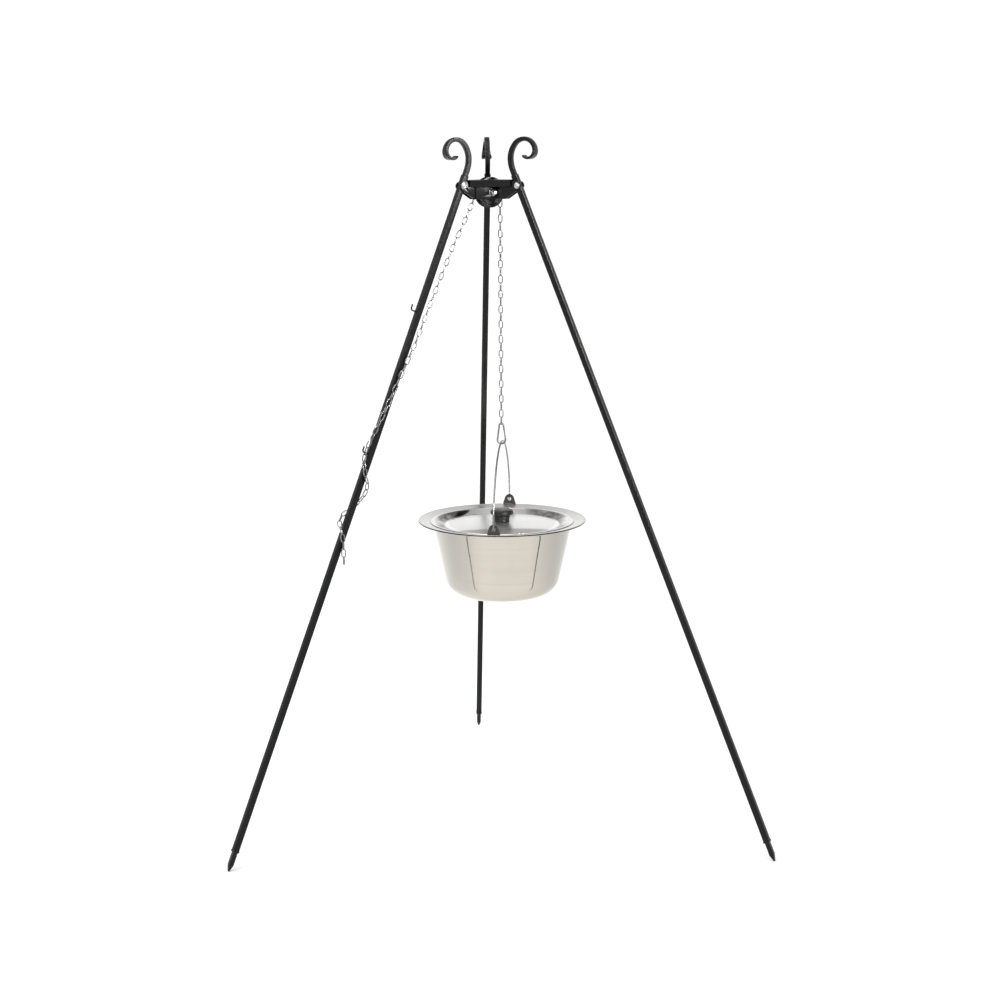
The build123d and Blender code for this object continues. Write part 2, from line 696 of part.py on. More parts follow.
# ---------------------------------------------------------------- lid
with BuildPart() as lid_shell:
    with BuildSketch(pot_profile):
        with BuildLine():
            crown = TangentArc((0, LID_CROWN), (150, LID_HEIGHT - 9.9), tangent=(1, 0))
            slope = Line((156, LID_HEIGHT - 10.6), (178, LID_HEIGHT - 2))
            Line(crown @ 1, slope @ 0)
            brow = Line(slope @ 1, (181.5, LID_HEIGHT))
            Line(brow @ 1, (LID_RADIUS, LID_HEIGHT))
            offset(amount=LID_WALL, side=Side.LEFT, closed=True)
        make_face()
    revolve(axis=pot_axis)
    with BuildSketch(Plane(origin=(hang_top.X, hang_top.Y, LID_CROWN + 5))):
        Circle(2.6)
    extrude(amount=-10, mode=Mode.SUBTRACT)
save(lid_shell, "lid_shell")

KNOB_FOOT = LID_CROWN + LID_WALL + 0.1
with BuildPart() as lid_knob:
    with BuildSketch(pot_profile):
        with BuildLine():
            Polyline((0, KNOB_FOOT), (19.5, KNOB_FOOT), (22.5, KNOB_FOOT + 16),
                     (28.5, KNOB_FOOT + 18.5), (30.4, KNOB_FOOT + 23), (29.2, KNOB_FOOT + 28),
                     (24.5, KNOB_FOOT + 32.5), (0, KNOB_FOOT + 34), close=True)
        make_face()
    revolve(axis=pot_axis)
    with BuildSketch(Plane(origin=(hang_top.X, hang_top.Y, KNOB_FOOT))):
        Circle(2.5)
    extrude(amount=15, mode=Mode.SUBTRACT)
save(lid_knob, "lid_knob")

with BuildPart() as knob_screw:
    with BuildSketch(Plane(origin=(hang_top.X, hang_top.Y, LID_CROWN - 1.2))):
        Circle(4.6)
    extrude(amount=-3.2)
    with BuildSketch(Plane(origin=(hang_top.X, hang_top.Y, LID_CROWN - 1.2))):
        Circle(2.45)
    extrude(amount=14)
save(knob_screw, "knob_screw")

with BuildPart() as knob_washer:
    with BuildSketch(Plane(origin=(hang_top.X, hang_top.Y, LID_CROWN - 1.2))):
        Circle(6.5)
        Circle(2.6, mode=Mode.SUBTRACT)
    extrude(amount=1.1)
save(knob_washer, "knob_washer")
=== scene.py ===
import json
from math import acos, asin, atan2, ceil, cos, degrees, exp, hypot, pi, radians, sin, tan

import bmesh
import bpy
import numpy as np
from mathutils import Matrix, Vector, noise


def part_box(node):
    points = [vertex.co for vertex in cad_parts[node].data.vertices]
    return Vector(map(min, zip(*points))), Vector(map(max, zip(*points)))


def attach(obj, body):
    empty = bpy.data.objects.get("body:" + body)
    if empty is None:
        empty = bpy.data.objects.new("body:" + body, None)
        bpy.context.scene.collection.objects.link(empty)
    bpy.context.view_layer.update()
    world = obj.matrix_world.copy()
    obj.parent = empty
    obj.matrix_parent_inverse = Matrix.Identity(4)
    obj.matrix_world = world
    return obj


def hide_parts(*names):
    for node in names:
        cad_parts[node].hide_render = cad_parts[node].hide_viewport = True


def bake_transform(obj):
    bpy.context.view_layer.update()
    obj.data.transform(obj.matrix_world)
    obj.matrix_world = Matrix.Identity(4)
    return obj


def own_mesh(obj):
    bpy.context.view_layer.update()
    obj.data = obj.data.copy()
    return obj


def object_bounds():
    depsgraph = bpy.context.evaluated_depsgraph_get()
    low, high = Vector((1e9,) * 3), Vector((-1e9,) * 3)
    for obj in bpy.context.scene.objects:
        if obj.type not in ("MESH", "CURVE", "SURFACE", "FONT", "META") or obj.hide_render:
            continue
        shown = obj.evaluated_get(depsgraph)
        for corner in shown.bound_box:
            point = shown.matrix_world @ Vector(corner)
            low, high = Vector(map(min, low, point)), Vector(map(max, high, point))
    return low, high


# Looks of a folding campfire tripod with a chain, a snap hook and a lidded stainless pot.
# Everything is in metres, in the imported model's frame: +Z up, front towards -Y.

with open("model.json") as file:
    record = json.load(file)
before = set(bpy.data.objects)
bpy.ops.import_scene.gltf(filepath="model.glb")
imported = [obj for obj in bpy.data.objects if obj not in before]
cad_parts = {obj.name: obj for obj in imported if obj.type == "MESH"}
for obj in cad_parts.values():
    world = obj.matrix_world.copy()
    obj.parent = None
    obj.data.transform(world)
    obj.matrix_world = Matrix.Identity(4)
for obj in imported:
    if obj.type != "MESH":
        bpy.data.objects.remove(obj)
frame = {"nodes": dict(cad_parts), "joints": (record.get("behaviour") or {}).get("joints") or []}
scene = bpy.context.scene
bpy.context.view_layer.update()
nodes = frame["nodes"]
joints = {joint["name"]: joint for joint in frame["joints"]}

# Legs, by azimuth, and the slope from the pivot to the foot
LEGS = {"left": 210.0, "right": 330.0, "rear": 90.0}
LEG_OUT, LEG_DOWN = 0.706, 1.678
LEG_LEAN = atan2(LEG_OUT, LEG_DOWN)
TUBE_HALF = 0.008
TUBE_CORNER = 0.0026
TUBE_TOP = 0.027
TUBE_FOOT = 0.0550 - hypot(LEG_OUT, LEG_DOWN)
LOWER_HOOK = 0.7202
UPPER_HOOK = 0.341

# Scrolls. Each arc is its radius, its start and end in degrees, and the bar's thickness at its end.
# The first starts at the leg's own slope.
BAR = 0.0126
SCROLL_START = 0.0423
SCROLL_ARCS = (
    (0.075, None, 0.0, 0.0126),
    (0.058, 0.0, 40.0, 0.012),
    (0.033, 40.0, 90.0, 0.011),
    (0.030, 90.0, 180.0, 0.008),
    (0.0185, 180.0, 270.0, 0.006),
    (0.015, 270.0, 330.0, 0.003),
)
FISHTAIL_WIDTH = 0.0257

# Hub, with the faces that the washers lie on and the side of each leg that has the bolt's head
EAR_FACE = 0.0113
CHEEK_FACE = 0.0145
CAP_THICKNESS = 0.003
WASHER = 0.0012
ROLLER_HALF_WIDTH = 0.0105
HEAD_SIDES = {"left": -1, "right": 1, "rear": 1}

# The snap hook's wire and the bail's stay a hair inside the CAD's.
INSIDE = 0.995

# Chain links and snap hook
LINK_WIRE = 0.0015
LINK_HALF_WIDTH = 0.00475
LINK_HALF_LENGTH = 0.01145
SNAP_WIRE = 0.0025
SNAP_TOP_RADIUS = 0.0055
SNAP_BOTTOM_RADIUS = 0.0105
SNAP_CENTRES = 0.0376
GATE_PIN_DOWN = 0.008
GATE_LENGTH = 0.024

# Pot, lugs, lid and bail. The heel is the curve from the flat base to the wall, and the throat is
# the bend from the wall into the rim.
POT_WALL = 0.0011
BASE_RADIUS = 0.098
HEEL_RADIUS, HEEL_RISE = 0.151, 0.042
WALL_TOP_RADIUS = 0.1832
THROAT_RADIUS = 0.1917
RIM_RADIUS = 0.219
RIM_Z = 0.803
LUG_RADIUS = 0.216
LUG_HALF_WIDTH = 0.017
LUG_TOP_RADIUS = 0.013
LUG_HOLE_RADIUS = 0.0047
LUG_HALF_THICKNESS = 0.00125
LID_Z = 0.7999
LID_CROWN = 0.7975
LID_WALL = 0.0010
BAIL_WIRE = 0.0025
BAIL_HALF_SPAN = 0.222
BAIL_BEND = 0.006
BAIL_CURL = 0.004
BAIL_SHOULDER = 30


def direction(azimuth):
    return Vector((cos(radians(azimuth)), sin(radians(azimuth)), 0))


def joint_point(name):
    return Vector(joints[name]["pos_m"])


UP = Vector((0, 0, 1))
hang_point = joint_point("chain_swing")
pot_axis = Vector((hang_point.x, hang_point.y, 0))
roller_centre = joint_point("roller_spin")
roller_axle = direction(300)


# -------- mesh helpers
def skin(rings, loop=False, caps=True):
    """A closed surface through rings of points, each with the same number of points."""
    bm = bmesh.new()
    rows = [[bm.verts.new(point) for point in ring] for ring in rings]
    pairs = list(zip(rows, rows[1:]))
    if loop:
        pairs.append((rows[-1], rows[0]))
    for low, high in pairs:
        for k in range(len(low)):
            m = (k + 1) % len(low)
            bm.faces.new((low[k], low[m], high[m], high[k]))
    if caps and not loop:
        bm.faces.new(list(reversed(rows[0])))
        bm.faces.new(rows[-1])
    bmesh.ops.remove_doubles(bm, verts=bm.verts, dist=1e-7)
    bmesh.ops.recalc_face_normals(bm, faces=bm.faces)
    return bm


def placed(bm, matrix):
    bm.transform(matrix)
    return bm


def join(*parts):
    whole = bmesh.new()
    for part in parts:
        mesh = bpy.data.meshes.new("part")
        part.to_mesh(mesh)
        whole.from_mesh(mesh)
        bpy.data.meshes.remove(mesh)
        part.free()
    return whole


def basis(x, y, z, origin):
    matrix = Matrix((x, y, z)).transposed().to_4x4()
    matrix.translation = origin
    return matrix


def axes(origin, z_axis, x_hint=UP):
    """A matrix that puts local Z along z_axis and local X as near as it can to x_hint."""
    z = Vector(z_axis).normalized()
    x = Vector(x_hint) - z * Vector(x_hint).dot(z)
    if x.length < 1e-6:
        x = Vector((1, 0, 0)) - z * z.x
    x.normalize()
    return basis(x, z.cross(x), z, origin)


def circle(radius, height, sides):
    return [
        Vector((radius * cos(2 * pi * k / sides), radius * sin(2 * pi * k / sides), height))
        for k in range(sides)
    ]


def lathe(profile, sides, loop=True):
    """Turns (radius, height) pairs about local Z."""
    return skin([circle(max(r, 0.0), z, sides) for r, z in profile], loop=loop, caps=False)


def rounded(profile, radius, steps=3, loop=True):
    """The profile with each corner turned into a small arc-like bend."""
    out, count = [], len(profile)
    for k, point in enumerate(profile):
        if not loop and k in (0, count - 1):
            out.append(point)
            continue
        here = Vector(point)
        before = Vector(profile[k - 1]) - here
        after = Vector(profile[(k + 1) % count]) - here
        reach = min(radius, before.length * 0.45, after.length * 0.45)
        start, end = here + before.normalized() * reach, here + after.normalized() * reach
        for step in range(steps + 1):
            t = step / steps
            out.append(tuple(start * (1 - t) ** 2 + here * (2 * t * (1 - t)) + end * t ** 2))
    return out


def tube(points, radius, sides, closed=False):
    """A round rod along points. The radius is a number or one number per point. Open ends are domed."""
    points = [Vector(p) for p in points]
    count = len(points)
    radii = list(radius) if isinstance(radius, (list, tuple)) else [radius] * count
    tangents = []
    for k in range(count):
        a = points[(k - 1) % count] if closed or k else points[0]
        b = points[(k + 1) % count] if closed or k < count - 1 else points[-1]
        tangents.append((b - a).normalized())
    side = tangents[0].orthogonal().normalized()
    rings = []

    def ring(centre, tangent, r):
        nonlocal side
        side = (side - tangent * side.dot(tangent)).normalized()
        other = tangent.cross(side)
        rings.append([
            centre + (side * cos(2 * pi * k / sides) + other * sin(2 * pi * k / sides)) * r
            for k in range(sides)
        ])

    if not closed:
        for angle in (80, 60, 35, 12):
            lift, r = sin(radians(angle)) * radii[0], cos(radians(angle)) * radii[0]
            ring(points[0] - tangents[0] * (lift - radii[0]), tangents[0], r)
        points[0] = points[0] + tangents[0] * radii[0]
        points[-1] = points[-1] - tangents[-1] * radii[-1]
    for point, tangent, r in zip(points, tangents, radii):
        ring(point, tangent, r)
    if not closed:
        for angle in (12, 35, 60, 80):
            lift, r = sin(radians(angle)) * radii[-1], cos(radians(angle)) * radii[-1]
            ring(points[-1] + tangents[-1] * lift, tangents[-1], r)
    return skin(rings, loop=closed)


def arc(centre, radius, start, end, steps):
    """Points on a flat arc, as (x, y) pairs. Angles are in degrees."""
    return [
        (centre[0] + radius * cos(radians(start + (end - start) * k / steps)),
         centre[1] + radius * sin(radians(start + (end - start) * k / steps)))
        for k in range(steps + 1)
    ]


def even(points, step):
    """The same line with points at most a step apart."""
    out = [Vector(points[0])]
    for a, b in zip(points, points[1:]):
        a, b = Vector(a), Vector(b)
        count = max(1, ceil((b - a).length / step))
        out += [a.lerp(b, k / count) for k in range(1, count + 1)]
    return out


def weld_bead(points, radius, closed=False, step=0.0011):
    """A bead with the ripples that a torch leaves."""
    line = even(list(points) + ([points[0]] if closed else []), step / 4)
    if closed:
        line = line[:-1]
    radii = []
    for k, point in enumerate(line):
        ripple = abs(sin(pi * k / 4))
        radii.append(radius * (0.84 + 0.16 * ripple + 0.14 * noise.noise(point * 700)))
    return tube(line, radii, sides=10, closed=closed)


def smooth(bm, angle=32):
    mesh = bpy.data.meshes.new("piece")
    bm.to_mesh(mesh)
    bm.free()
    mesh.polygons.foreach_set("use_smooth", [True] * len(mesh.polygons))
    mesh.set_sharp_from_angle(angle=radians(angle))
    return mesh


def add_object(name, data):
    obj = bpy.data.objects.new(name, data)
    scene.collection.objects.link(obj)
    return obj


def add_piece(name, bm, body, material, stands_for=(), angle=32, ride=True):
    mesh = smooth(bm, angle)
    mesh.name = name
    mesh.materials.append(material)
    obj = add_object(name, mesh)
    if stands_for:
        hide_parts(*stands_for)
    if ride:
        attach(obj, body)
    return obj


def refined(node, body, bevel, material):
    """A copy of a CAD node with rounded edges, which stands for it."""
    bm = bmesh.new()
    bm.from_mesh(nodes[node].data)
    bmesh.ops.remove_doubles(bm, verts=bm.verts, dist=1e-6)
    bmesh.ops.dissolve_limit(bm, angle_limit=radians(0.6), verts=bm.verts, edges=bm.edges)
    edges = [e for e in bm.edges if e.is_manifold and e.calc_face_angle() > radians(28)]
    bmesh.ops.bevel(bm, geom=edges, offset=bevel, segments=3, profile=0.5,
                    affect="EDGES", clamp_overlap=True)
    add_piece(node + "_finished", bm, body, material, (node,))


# -------- materials
class Shader:
    """A Principled material that is built up from a few kinds of procedural detail."""

    def __init__(self, name, metallic=0.0, specular=0.5):
        self.material = bpy.data.materials.new(name)
        self.material.use_nodes = True
        self.tree = self.material.node_tree
        self.principled = self.tree.nodes["Principled BSDF"]
        self.principled.inputs["Metallic"].default_value = metallic
        self.principled.inputs["Specular IOR Level"].default_value = specular
        self.place = self.node("ShaderNodeTexCoord").outputs["Object"]

    def node(self, kind, **values):
        node = self.tree.nodes.new(kind)
        for key, value in values.items():
            setattr(node, key, value)
        return node

    def link(self, source, target):
        self.tree.links.new(source, target)

    def texture(self, kind, place, **numbers):
        texture = self.node(kind)
        for key, number in numbers.items():
            texture.inputs[key].default_value = number
        self.link(place or self.place, texture.inputs["Vector"])
        return texture

    def noise(self, scale, detail=3.0, rough=0.55, place=None):
        texture = self.texture("ShaderNodeTexNoise", place, Scale=scale, Detail=detail, Roughness=rough)
        return texture.outputs["Fac"]

    def cells(self, scale):
        texture = self.texture("ShaderNodeTexVoronoi", None, Scale=scale)
        texture.feature = "SMOOTH_F1"
        return texture.outputs["Distance"]

    def math(self, operation, *values):
        node = self.node("ShaderNodeMath", operation=operation)
        for number, value in enumerate(values):
            if isinstance(value, (int, float)):
                node.inputs[number].default_value = value
            else:
                self.link(value, node.inputs[number])
        return node.outputs[0]

    def times(self, a, b):
        return self.math("MULTIPLY", a, b)

    def plus(self, a, b):
        return self.math("ADD", a, b)

    def spread(self, value, low, high, to_low=0.0, to_high=1.0):
        """The value moved from the range low to high into the range to_low to to_high."""
        node = self.node("ShaderNodeMapRange", clamp=True)
        self.link(value, node.inputs["Value"])
        for key, number in (("From Min", low), ("From Max", high), ("To Min", to_low), ("To Max", to_high)):
            node.inputs[key].default_value = number
        return node.outputs["Result"]

    def mottled(self, scale, detail, low, high):
        """A cloudy value that mostly lies between low and high."""
        return self.spread(self.noise(scale, detail), 0.3, 0.7, low, high)

    def mix(self, share, a, b):
        """The colours a and b mixed. A colour mix takes its share and colours as inputs 0, 6 and 7."""
        node = self.node("ShaderNodeMix", data_type="RGBA")
        for key, value in ((0, share), (6, a), (7, b)):
            if isinstance(value, (tuple, float)):
                node.inputs[key].default_value = (*value, 1.0) if isinstance(value, tuple) else value
            else:
                self.link(value, node.inputs[key])
        return node.outputs[2]

    def place_axis(self, number):
        split = self.node("ShaderNodeSeparateXYZ")
        self.link(self.place, split.inputs[0])
        return split.outputs[number]

    def around(self, centre):
        """A place that changes little around a vertical axis, for marks of spinning, and the radius.

        The angle is taken as a point of a small circle, so that it has no seam.
        """
        x = self.math("SUBTRACT", self.place_axis(0), centre.x)
        y = self.math("SUBTRACT", self.place_axis(1), centre.y)
        radius = self.math("SQRT", self.plus(self.times(x, x), self.times(y, y)))
        small_x = self.times(self.math("DIVIDE", x, radius), 0.0012)
        small_y = self.times(self.math("DIVIDE", y, radius), 0.0012)
        spun = self.node("ShaderNodeCombineXYZ")
        for number, part in enumerate((self.plus(radius, small_x), small_y, self.place_axis(2))):
            self.link(part, spun.inputs[number])
        return spun.outputs[0], radius

    def worn_edges(self, radius, strength_texture):
        """1 along edges, broken up by a texture."""
        bevel = self.node("ShaderNodeBevel", samples=4)
        bevel.inputs["Radius"].default_value = radius
        geometry = self.node("ShaderNodeNewGeometry")
        dot = self.node("ShaderNodeVectorMath", operation="DOT_PRODUCT")
        self.link(bevel.outputs[0], dot.inputs[0])
        self.link(geometry.outputs["Normal"], dot.inputs[1])
        edge = self.spread(dot.outputs["Value"], 0.985, 0.90)
        return self.times(edge, strength_texture)

    def finished(self, colour, roughness, *bumps):
        """The material. Each bump is (height texture, depth in metres)."""
        self.link(colour, self.principled.inputs["Base Color"])
        self.link(roughness, self.principled.inputs["Roughness"])
        normal = None
        for height, depth in bumps:
            bump = self.node("ShaderNodeBump")
            bump.inputs["Strength"].default_value = 1.0
            bump.inputs["Distance"].default_value = depth
            self.link(height, bump.inputs["Height"])
            if normal:
                self.link(normal, bump.inputs["Normal"])
            normal = bump.outputs["Normal"]
        self.link(normal, self.principled.inputs["Normal"])
        return self.material


def powder_coat(name, gloss, forged=0.0):
    """Black coat with dust, worn edges and, on forged bar, hammer marks."""
    shader = Shader(name, specular=0.20)
    cloud = shader.spread(shader.noise(9.0, 4), 0.35, 0.65)
    base = shader.mix(cloud, (0.0012, 0.0011, 0.0011), (0.0032, 0.0029, 0.0029))
    dust = shader.spread(shader.noise(60.0, 6, 0.7), 0.62, 0.78, 0.0, 0.35)
    base = shader.mix(dust, base, (0.011, 0.0102, 0.0098))
    scuff = shader.spread(shader.noise(170.0, 5, 0.65), 0.50, 0.68)
    worn = shader.worn_edges(0.0009, scuff)
    base = shader.mix(shader.times(worn, 0.75), base, (0.11, 0.105, 0.10))
    sheen = shader.plus(shader.mottled(35.0, 5, *gloss), shader.times(worn, 0.12))
    bumps = [(shader.noise(1400.0, 2), 0.00003), (shader.noise(320.0, 2), 0.00006)]
    if forged:
        bumps += [(shader.cells(95.0), forged), (shader.noise(40.0, 2), forged * 1.2)]
    return shader.finished(base, sheen, *bumps)


def bright_metal(name, light, dark, gloss, bump, islands=False):
    """Plated or drawn steel with stains. With islands, each link has its own tone."""
    shader = Shader(name, metallic=1.0)
    cloud = shader.spread(shader.noise(240.0, 5, 0.65), 0.3, 0.7)
    base = shader.mix(cloud, dark, light)
    stain = shader.spread(shader.noise(70.0, 6, 0.7), 0.60, 0.75, 0.0, 0.5)
    base = shader.mix(stain, base, tuple(c * 0.72 for c in dark))
    rough = shader.mottled(420.0, 4, *gloss)
    if islands:
        own = shader.node("ShaderNodeNewGeometry").outputs["Random Per Island"]
        base = shader.mix(shader.spread(own, 0.0, 1.0, 0.0, 0.35), base, dark)
        rough = shader.plus(rough, shader.spread(own, 0.0, 1.0, 0.0, 0.08))
    return shader.finished(base, rough, (shader.noise(900.0, 3, 0.6), bump),
                           (shader.noise(150.0, 2), bump * 4))


coat = powder_coat("powder_coat", (0.14, 0.24))
forged_coat = powder_coat("forged_coat", (0.26, 0.36), forged=0.00005)
zinc = bright_metal("zinc", (0.56, 0.56, 0.55), (0.28, 0.285, 0.29), (0.16, 0.30), bump=0.000012)
chain_zinc = bright_metal("chain_zinc", (0.30, 0.30, 0.29), (0.09, 0.09, 0.095), (0.14, 0.24),
                          bump=0.000014, islands=True)
wire_steel = bright_metal("wire_steel", (0.30, 0.30, 0.295), (0.12, 0.12, 0.125), (0.20, 0.32),
                          bump=0.000008)


def nylon_material():
    shader = Shader("nylon")
    base = shader.mix(shader.noise(300.0, 4), (0.62, 0.62, 0.58), (0.78, 0.78, 0.74))
    return shader.finished(base, shader.mottled(500.0, 3, 0.38, 0.52), (shader.noise(1200.0, 2), 0.00002))


def lug_material():
    """Black enamel that is rubbed to steel along its edges."""
    shader = Shader("lug_enamel")
    cloud = shader.spread(shader.noise(140.0, 5), 0.35, 0.65)
    base = shader.mix(cloud, (0.006, 0.0045, 0.0042), (0.015, 0.0105, 0.0095))
    worn = shader.worn_edges(0.0007, shader.spread(shader.noise(420.0, 4), 0.45, 0.62))
    base = shader.mix(shader.times(worn, 0.8), base, (0.30, 0.28, 0.27))
    return shader.finished(base, shader.mottled(200.0, 4, 0.30, 0.46), (shader.noise(900.0, 3), 0.00004))


def knob_material():
    """Turned black plastic with dust and a dull top that is painted lighter, as light from above makes it."""
    shader = Shader("knob_plastic", specular=0.16)
    base = shader.mix(shader.noise(160.0, 4), (0.004, 0.004, 0.0045), (0.010, 0.010, 0.0105))
    # painted highlight: the knob's top is painted lighter by its height, as if lit from above; the noise
    # added below is real dust
    top = shader.spread(shader.place_axis(2), LID_CROWN + 0.0310, LID_CROWN + 0.0340, 0.0, 0.60)
    dust = shader.plus(top, shader.spread(shader.noise(500.0, 6, 0.7), 0.55, 0.72, 0.0, 0.4))
    # dust and the painted light on the top, mixed over the plastic
    base = shader.mix(dust, base, (0.10, 0.098, 0.096))
    spun, _ = shader.around(pot_axis)
    return shader.finished(base, shader.mottled(90.0, 5, 0.30, 0.46),
                           (shader.noise(1500.0, 2, place=spun), 0.00003), (shader.noise(700.0, 3), 0.00002))


def pot_material():
    """Polished spun wall below a satin rim, with faint handling smudges and heat tint, flanks painted darker
    as reflection, and a painted shadow under the rim's bead.
    """
    shader = Shader("pot_stainless", metallic=1.0)
    spun, radius = shader.around(pot_axis)
    height = shader.place_axis(2)
    rings = shader.noise(1700.0, 4, 0.6, place=spun)
    broad_rings = shader.noise(140.0, 3, 0.5, place=spun)
    rim = shader.spread(radius, THROAT_RADIUS - 0.0047, THROAT_RADIUS - 0.0007)
    warm = shader.mix(shader.spread(broad_rings, 0.35, 0.65), (0.540, 0.498, 0.436), (0.570, 0.530, 0.474))
    # painted reflection: the wall is painted darker towards its left and right flanks, as a darker room would
    # mirror in them
    side = shader.math("ABSOLUTE", shader.math("SUBTRACT", shader.place_axis(0), pot_axis.x))
    painted_flank_shade = shader.spread(side, 0.060, 0.130)
    warm = shader.mix(painted_flank_shade, warm, (0.405, 0.388, 0.355))
    low = shader.spread(height, 0.640, 0.606, 0.0, 0.45)
    warm = shader.mix(low, warm, (0.47, 0.42, 0.355))
    smudge = shader.spread(shader.noise(14.0, 5, 0.6), 0.52, 0.72, 0.0, 0.18)
    warm = shader.mix(smudge, warm, (0.41, 0.39, 0.365))
    steel = shader.mix(rim, warm, (0.84, 0.835, 0.825))
    # painted shadow: a dark line painted on the underside of the rolled rim bead, where its shade falls
    painted_rim_shadow = shader.times(shader.spread(radius, RIM_RADIUS - 0.0025, RIM_RADIUS - 0.0015),
                       shader.spread(height, RIM_Z + 0.0012, RIM_Z + 0.0006))
    painted_rim_shadow = shader.times(painted_rim_shadow, shader.spread(shader.noise(9.0, 4), 0.34, 0.42, 0.86, 1.0))
    steel = shader.mix(painted_rim_shadow, steel, (0.022, 0.019, 0.017))
    polish = shader.spread(rings, 0.3, 0.7, 0.05, 0.09)
    polish = shader.plus(polish, shader.times(smudge, 0.25))
    polish = shader.times(polish, shader.math("SUBTRACT", 1.0, rim))
    satin = shader.mottled(45.0, 5, 0.26, 0.36)
    return shader.finished(steel, shader.plus(polish, shader.times(satin, rim)), (rings, 0.000003),
                           (broad_rings, 0.000008), (shader.noise(11.0, 2), 0.00007))


def lid_material():
    """A bright satin dome with a painted grey reflection at its front, in a polished groove with painted dark
    reflections at its sides.
    """
    shader = Shader("lid_stainless", metallic=1.0)
    spun, radius = shader.around(pot_axis)
    rings = shader.noise(1500.0, 4, 0.6, place=spun)
    groove = shader.times(shader.spread(radius, 0.149, 0.155), shader.spread(radius, 0.182, 0.178))
    cloud = shader.spread(shader.noise(18.0, 5), 0.35, 0.65)
    base = shader.mix(cloud, (0.78, 0.775, 0.765), (0.84, 0.835, 0.825))
    # painted reflection: dark patches painted into the groove at its left and right sides, where a dark room
    # would mirror
    side = shader.math("ABSOLUTE", shader.math("SUBTRACT", shader.place_axis(0), pot_axis.x - 0.004))
    painted_reflection_sides = shader.times(shader.spread(side, 0.075, 0.105), shader.spread(side, 0.176, 0.158))
    painted_groove_reflection = shader.times(painted_reflection_sides, shader.spread(shader.noise(22.0, 5, 0.65), 0.36, 0.56, 0.25, 0.97))
    base = shader.mix(shader.times(groove, painted_groove_reflection), base, (0.13, 0.12, 0.11))
    base = shader.mix(shader.spread(radius, 0.152, 0.144), base, (0.96, 0.955, 0.945))
    # painted reflection: a grey band painted on the front slope of the dome
    front = shader.spread(shader.place_axis(1), pot_axis.y - 0.080, pot_axis.y - 0.094)
    front = shader.times(front, shader.spread(radius, 0.154, 0.146))
    base = shader.mix(shader.times(front, 0.85), base, (0.38, 0.372, 0.36))
    smear = shader.spread(shader.noise(16.0, 6, 0.65), 0.5, 0.75, 0.0, 0.09)
    dome = shader.spread(radius, 0.148, 0.138, 0.0, 0.24)
    polish = shader.plus(shader.spread(rings, 0.3, 0.7, 0.035, 0.07), dome)
    return shader.finished(base, shader.plus(polish, smear), (rings, 0.000003),
                           (shader.noise(13.0, 2), 0.00022))


nylon = nylon_material()
lug_enamel = lug_material()
knob_plastic = knob_material()
pot_stainless = pot_material()
lid_stainless = lid_material()


# -------- fasteners, along local Z
def hexagon_reach(angle, across_flats):
    """How far a hexagon's outline is from its middle at an angle."""
    return across_flats / 2 / cos((angle + pi / 6) % (pi / 3) - pi / 6)


def outline(radius_at, height, sides=72):
    points = []
    for k in range(sides):
        angle = 2 * pi * k / sides
        r = radius_at(angle)
        points.append(Vector((r * cos(angle), r * sin(angle), height)))
    return points


def hexagon(across_flats, height, bore, chamfered):
    """A nut or bolt head from z 0 up. Its (lower, upper) ends are chamfered or taper to a circle."""
    cone = tan(radians(30))
    face = across_flats * 0.475
    depth = (across_flats / 2 / cos(pi / 6) - face) * cone
    cuts = [depth * k / 5 for k in range(6)]
    low, high = (cuts if wanted else [0.0] for wanted in chamfered)
    levels = [(cut, cut) for cut in low] + [(cut, height - cut) for cut in reversed(high)]
    rings = [outline(lambda a: min(hexagon_reach(a, across_flats), face + cut / cone), z)
             for cut, z in levels]
    return skin([circle(bore, 0, 72)] + rings + [circle(bore, height, 72)], loop=True)


def button_head(radius, height, socket):
    """A domed head with a hexagon socket, from z 0 up."""
    profile = [(0.0002, 0), (radius - 0.0003, 0), (radius, 0.0004), (radius, height * 0.22)]
    top = socket * 0.72
    for k in range(1, 8):
        turn = radians(90 * k / 8)
        profile.append((top + (radius - top) * cos(turn), height * (0.22 + 0.78 * sin(turn))))
    rings = [circle(r, z, 72) for r, z in profile + [(socket * 0.66, height)]]
    rings.append(outline(lambda a: hexagon_reach(a, socket), height - 0.0003))
    rings.append(outline(lambda a: hexagon_reach(a, socket * 0.99), height * 0.42))
    rings.append(circle(0.0002, height * 0.30, 72))
    return skin(rings, loop=True)


def threaded_end(radius, start, end, pitch):
    """A screw thread that winds up local Z and ends in a chamfer."""
    rings, steps = [], max(8, int((end - start) / pitch * 8))
    for k in range(steps + 1):
        z = start + (end - start) * k / steps
        limit = min(radius, radius - 0.0012 + (end - z) * 1.1)
        rings.append(outline(
            lambda a: min(limit, radius - 0.62 * pitch * abs(((z / pitch - a / (2 * pi)) % 1) - 0.5)),
            z, 36))
    return skin(rings)


def washer(inner, outer, thickness):
    profile = rounded([(inner, 0), (outer, 0), (outer, thickness), (inner, thickness)], 0.00035)
    return lathe(profile, 64)


def shank(radius, start, end):
    return lathe([(0, start), (radius, start), (radius, end), (0, end)], 36, loop=False)


def nut_collar(inner, outer, height, start):
    profile = [(inner, start), (outer, start), (outer, start + height * 0.55),
               (outer - 0.0006, start + height), (inner + 0.0004, start + height),
               (inner, start + height * 0.8)]
    return lathe(rounded(profile, 0.0005), 48)


def lock_nut(across_flats, height, bore, collar):
    """A nut with its collar, which is (inner, outer, height)."""
    return join(hexagon(across_flats, height, bore, (True, False)), nut_collar(*collar, height))


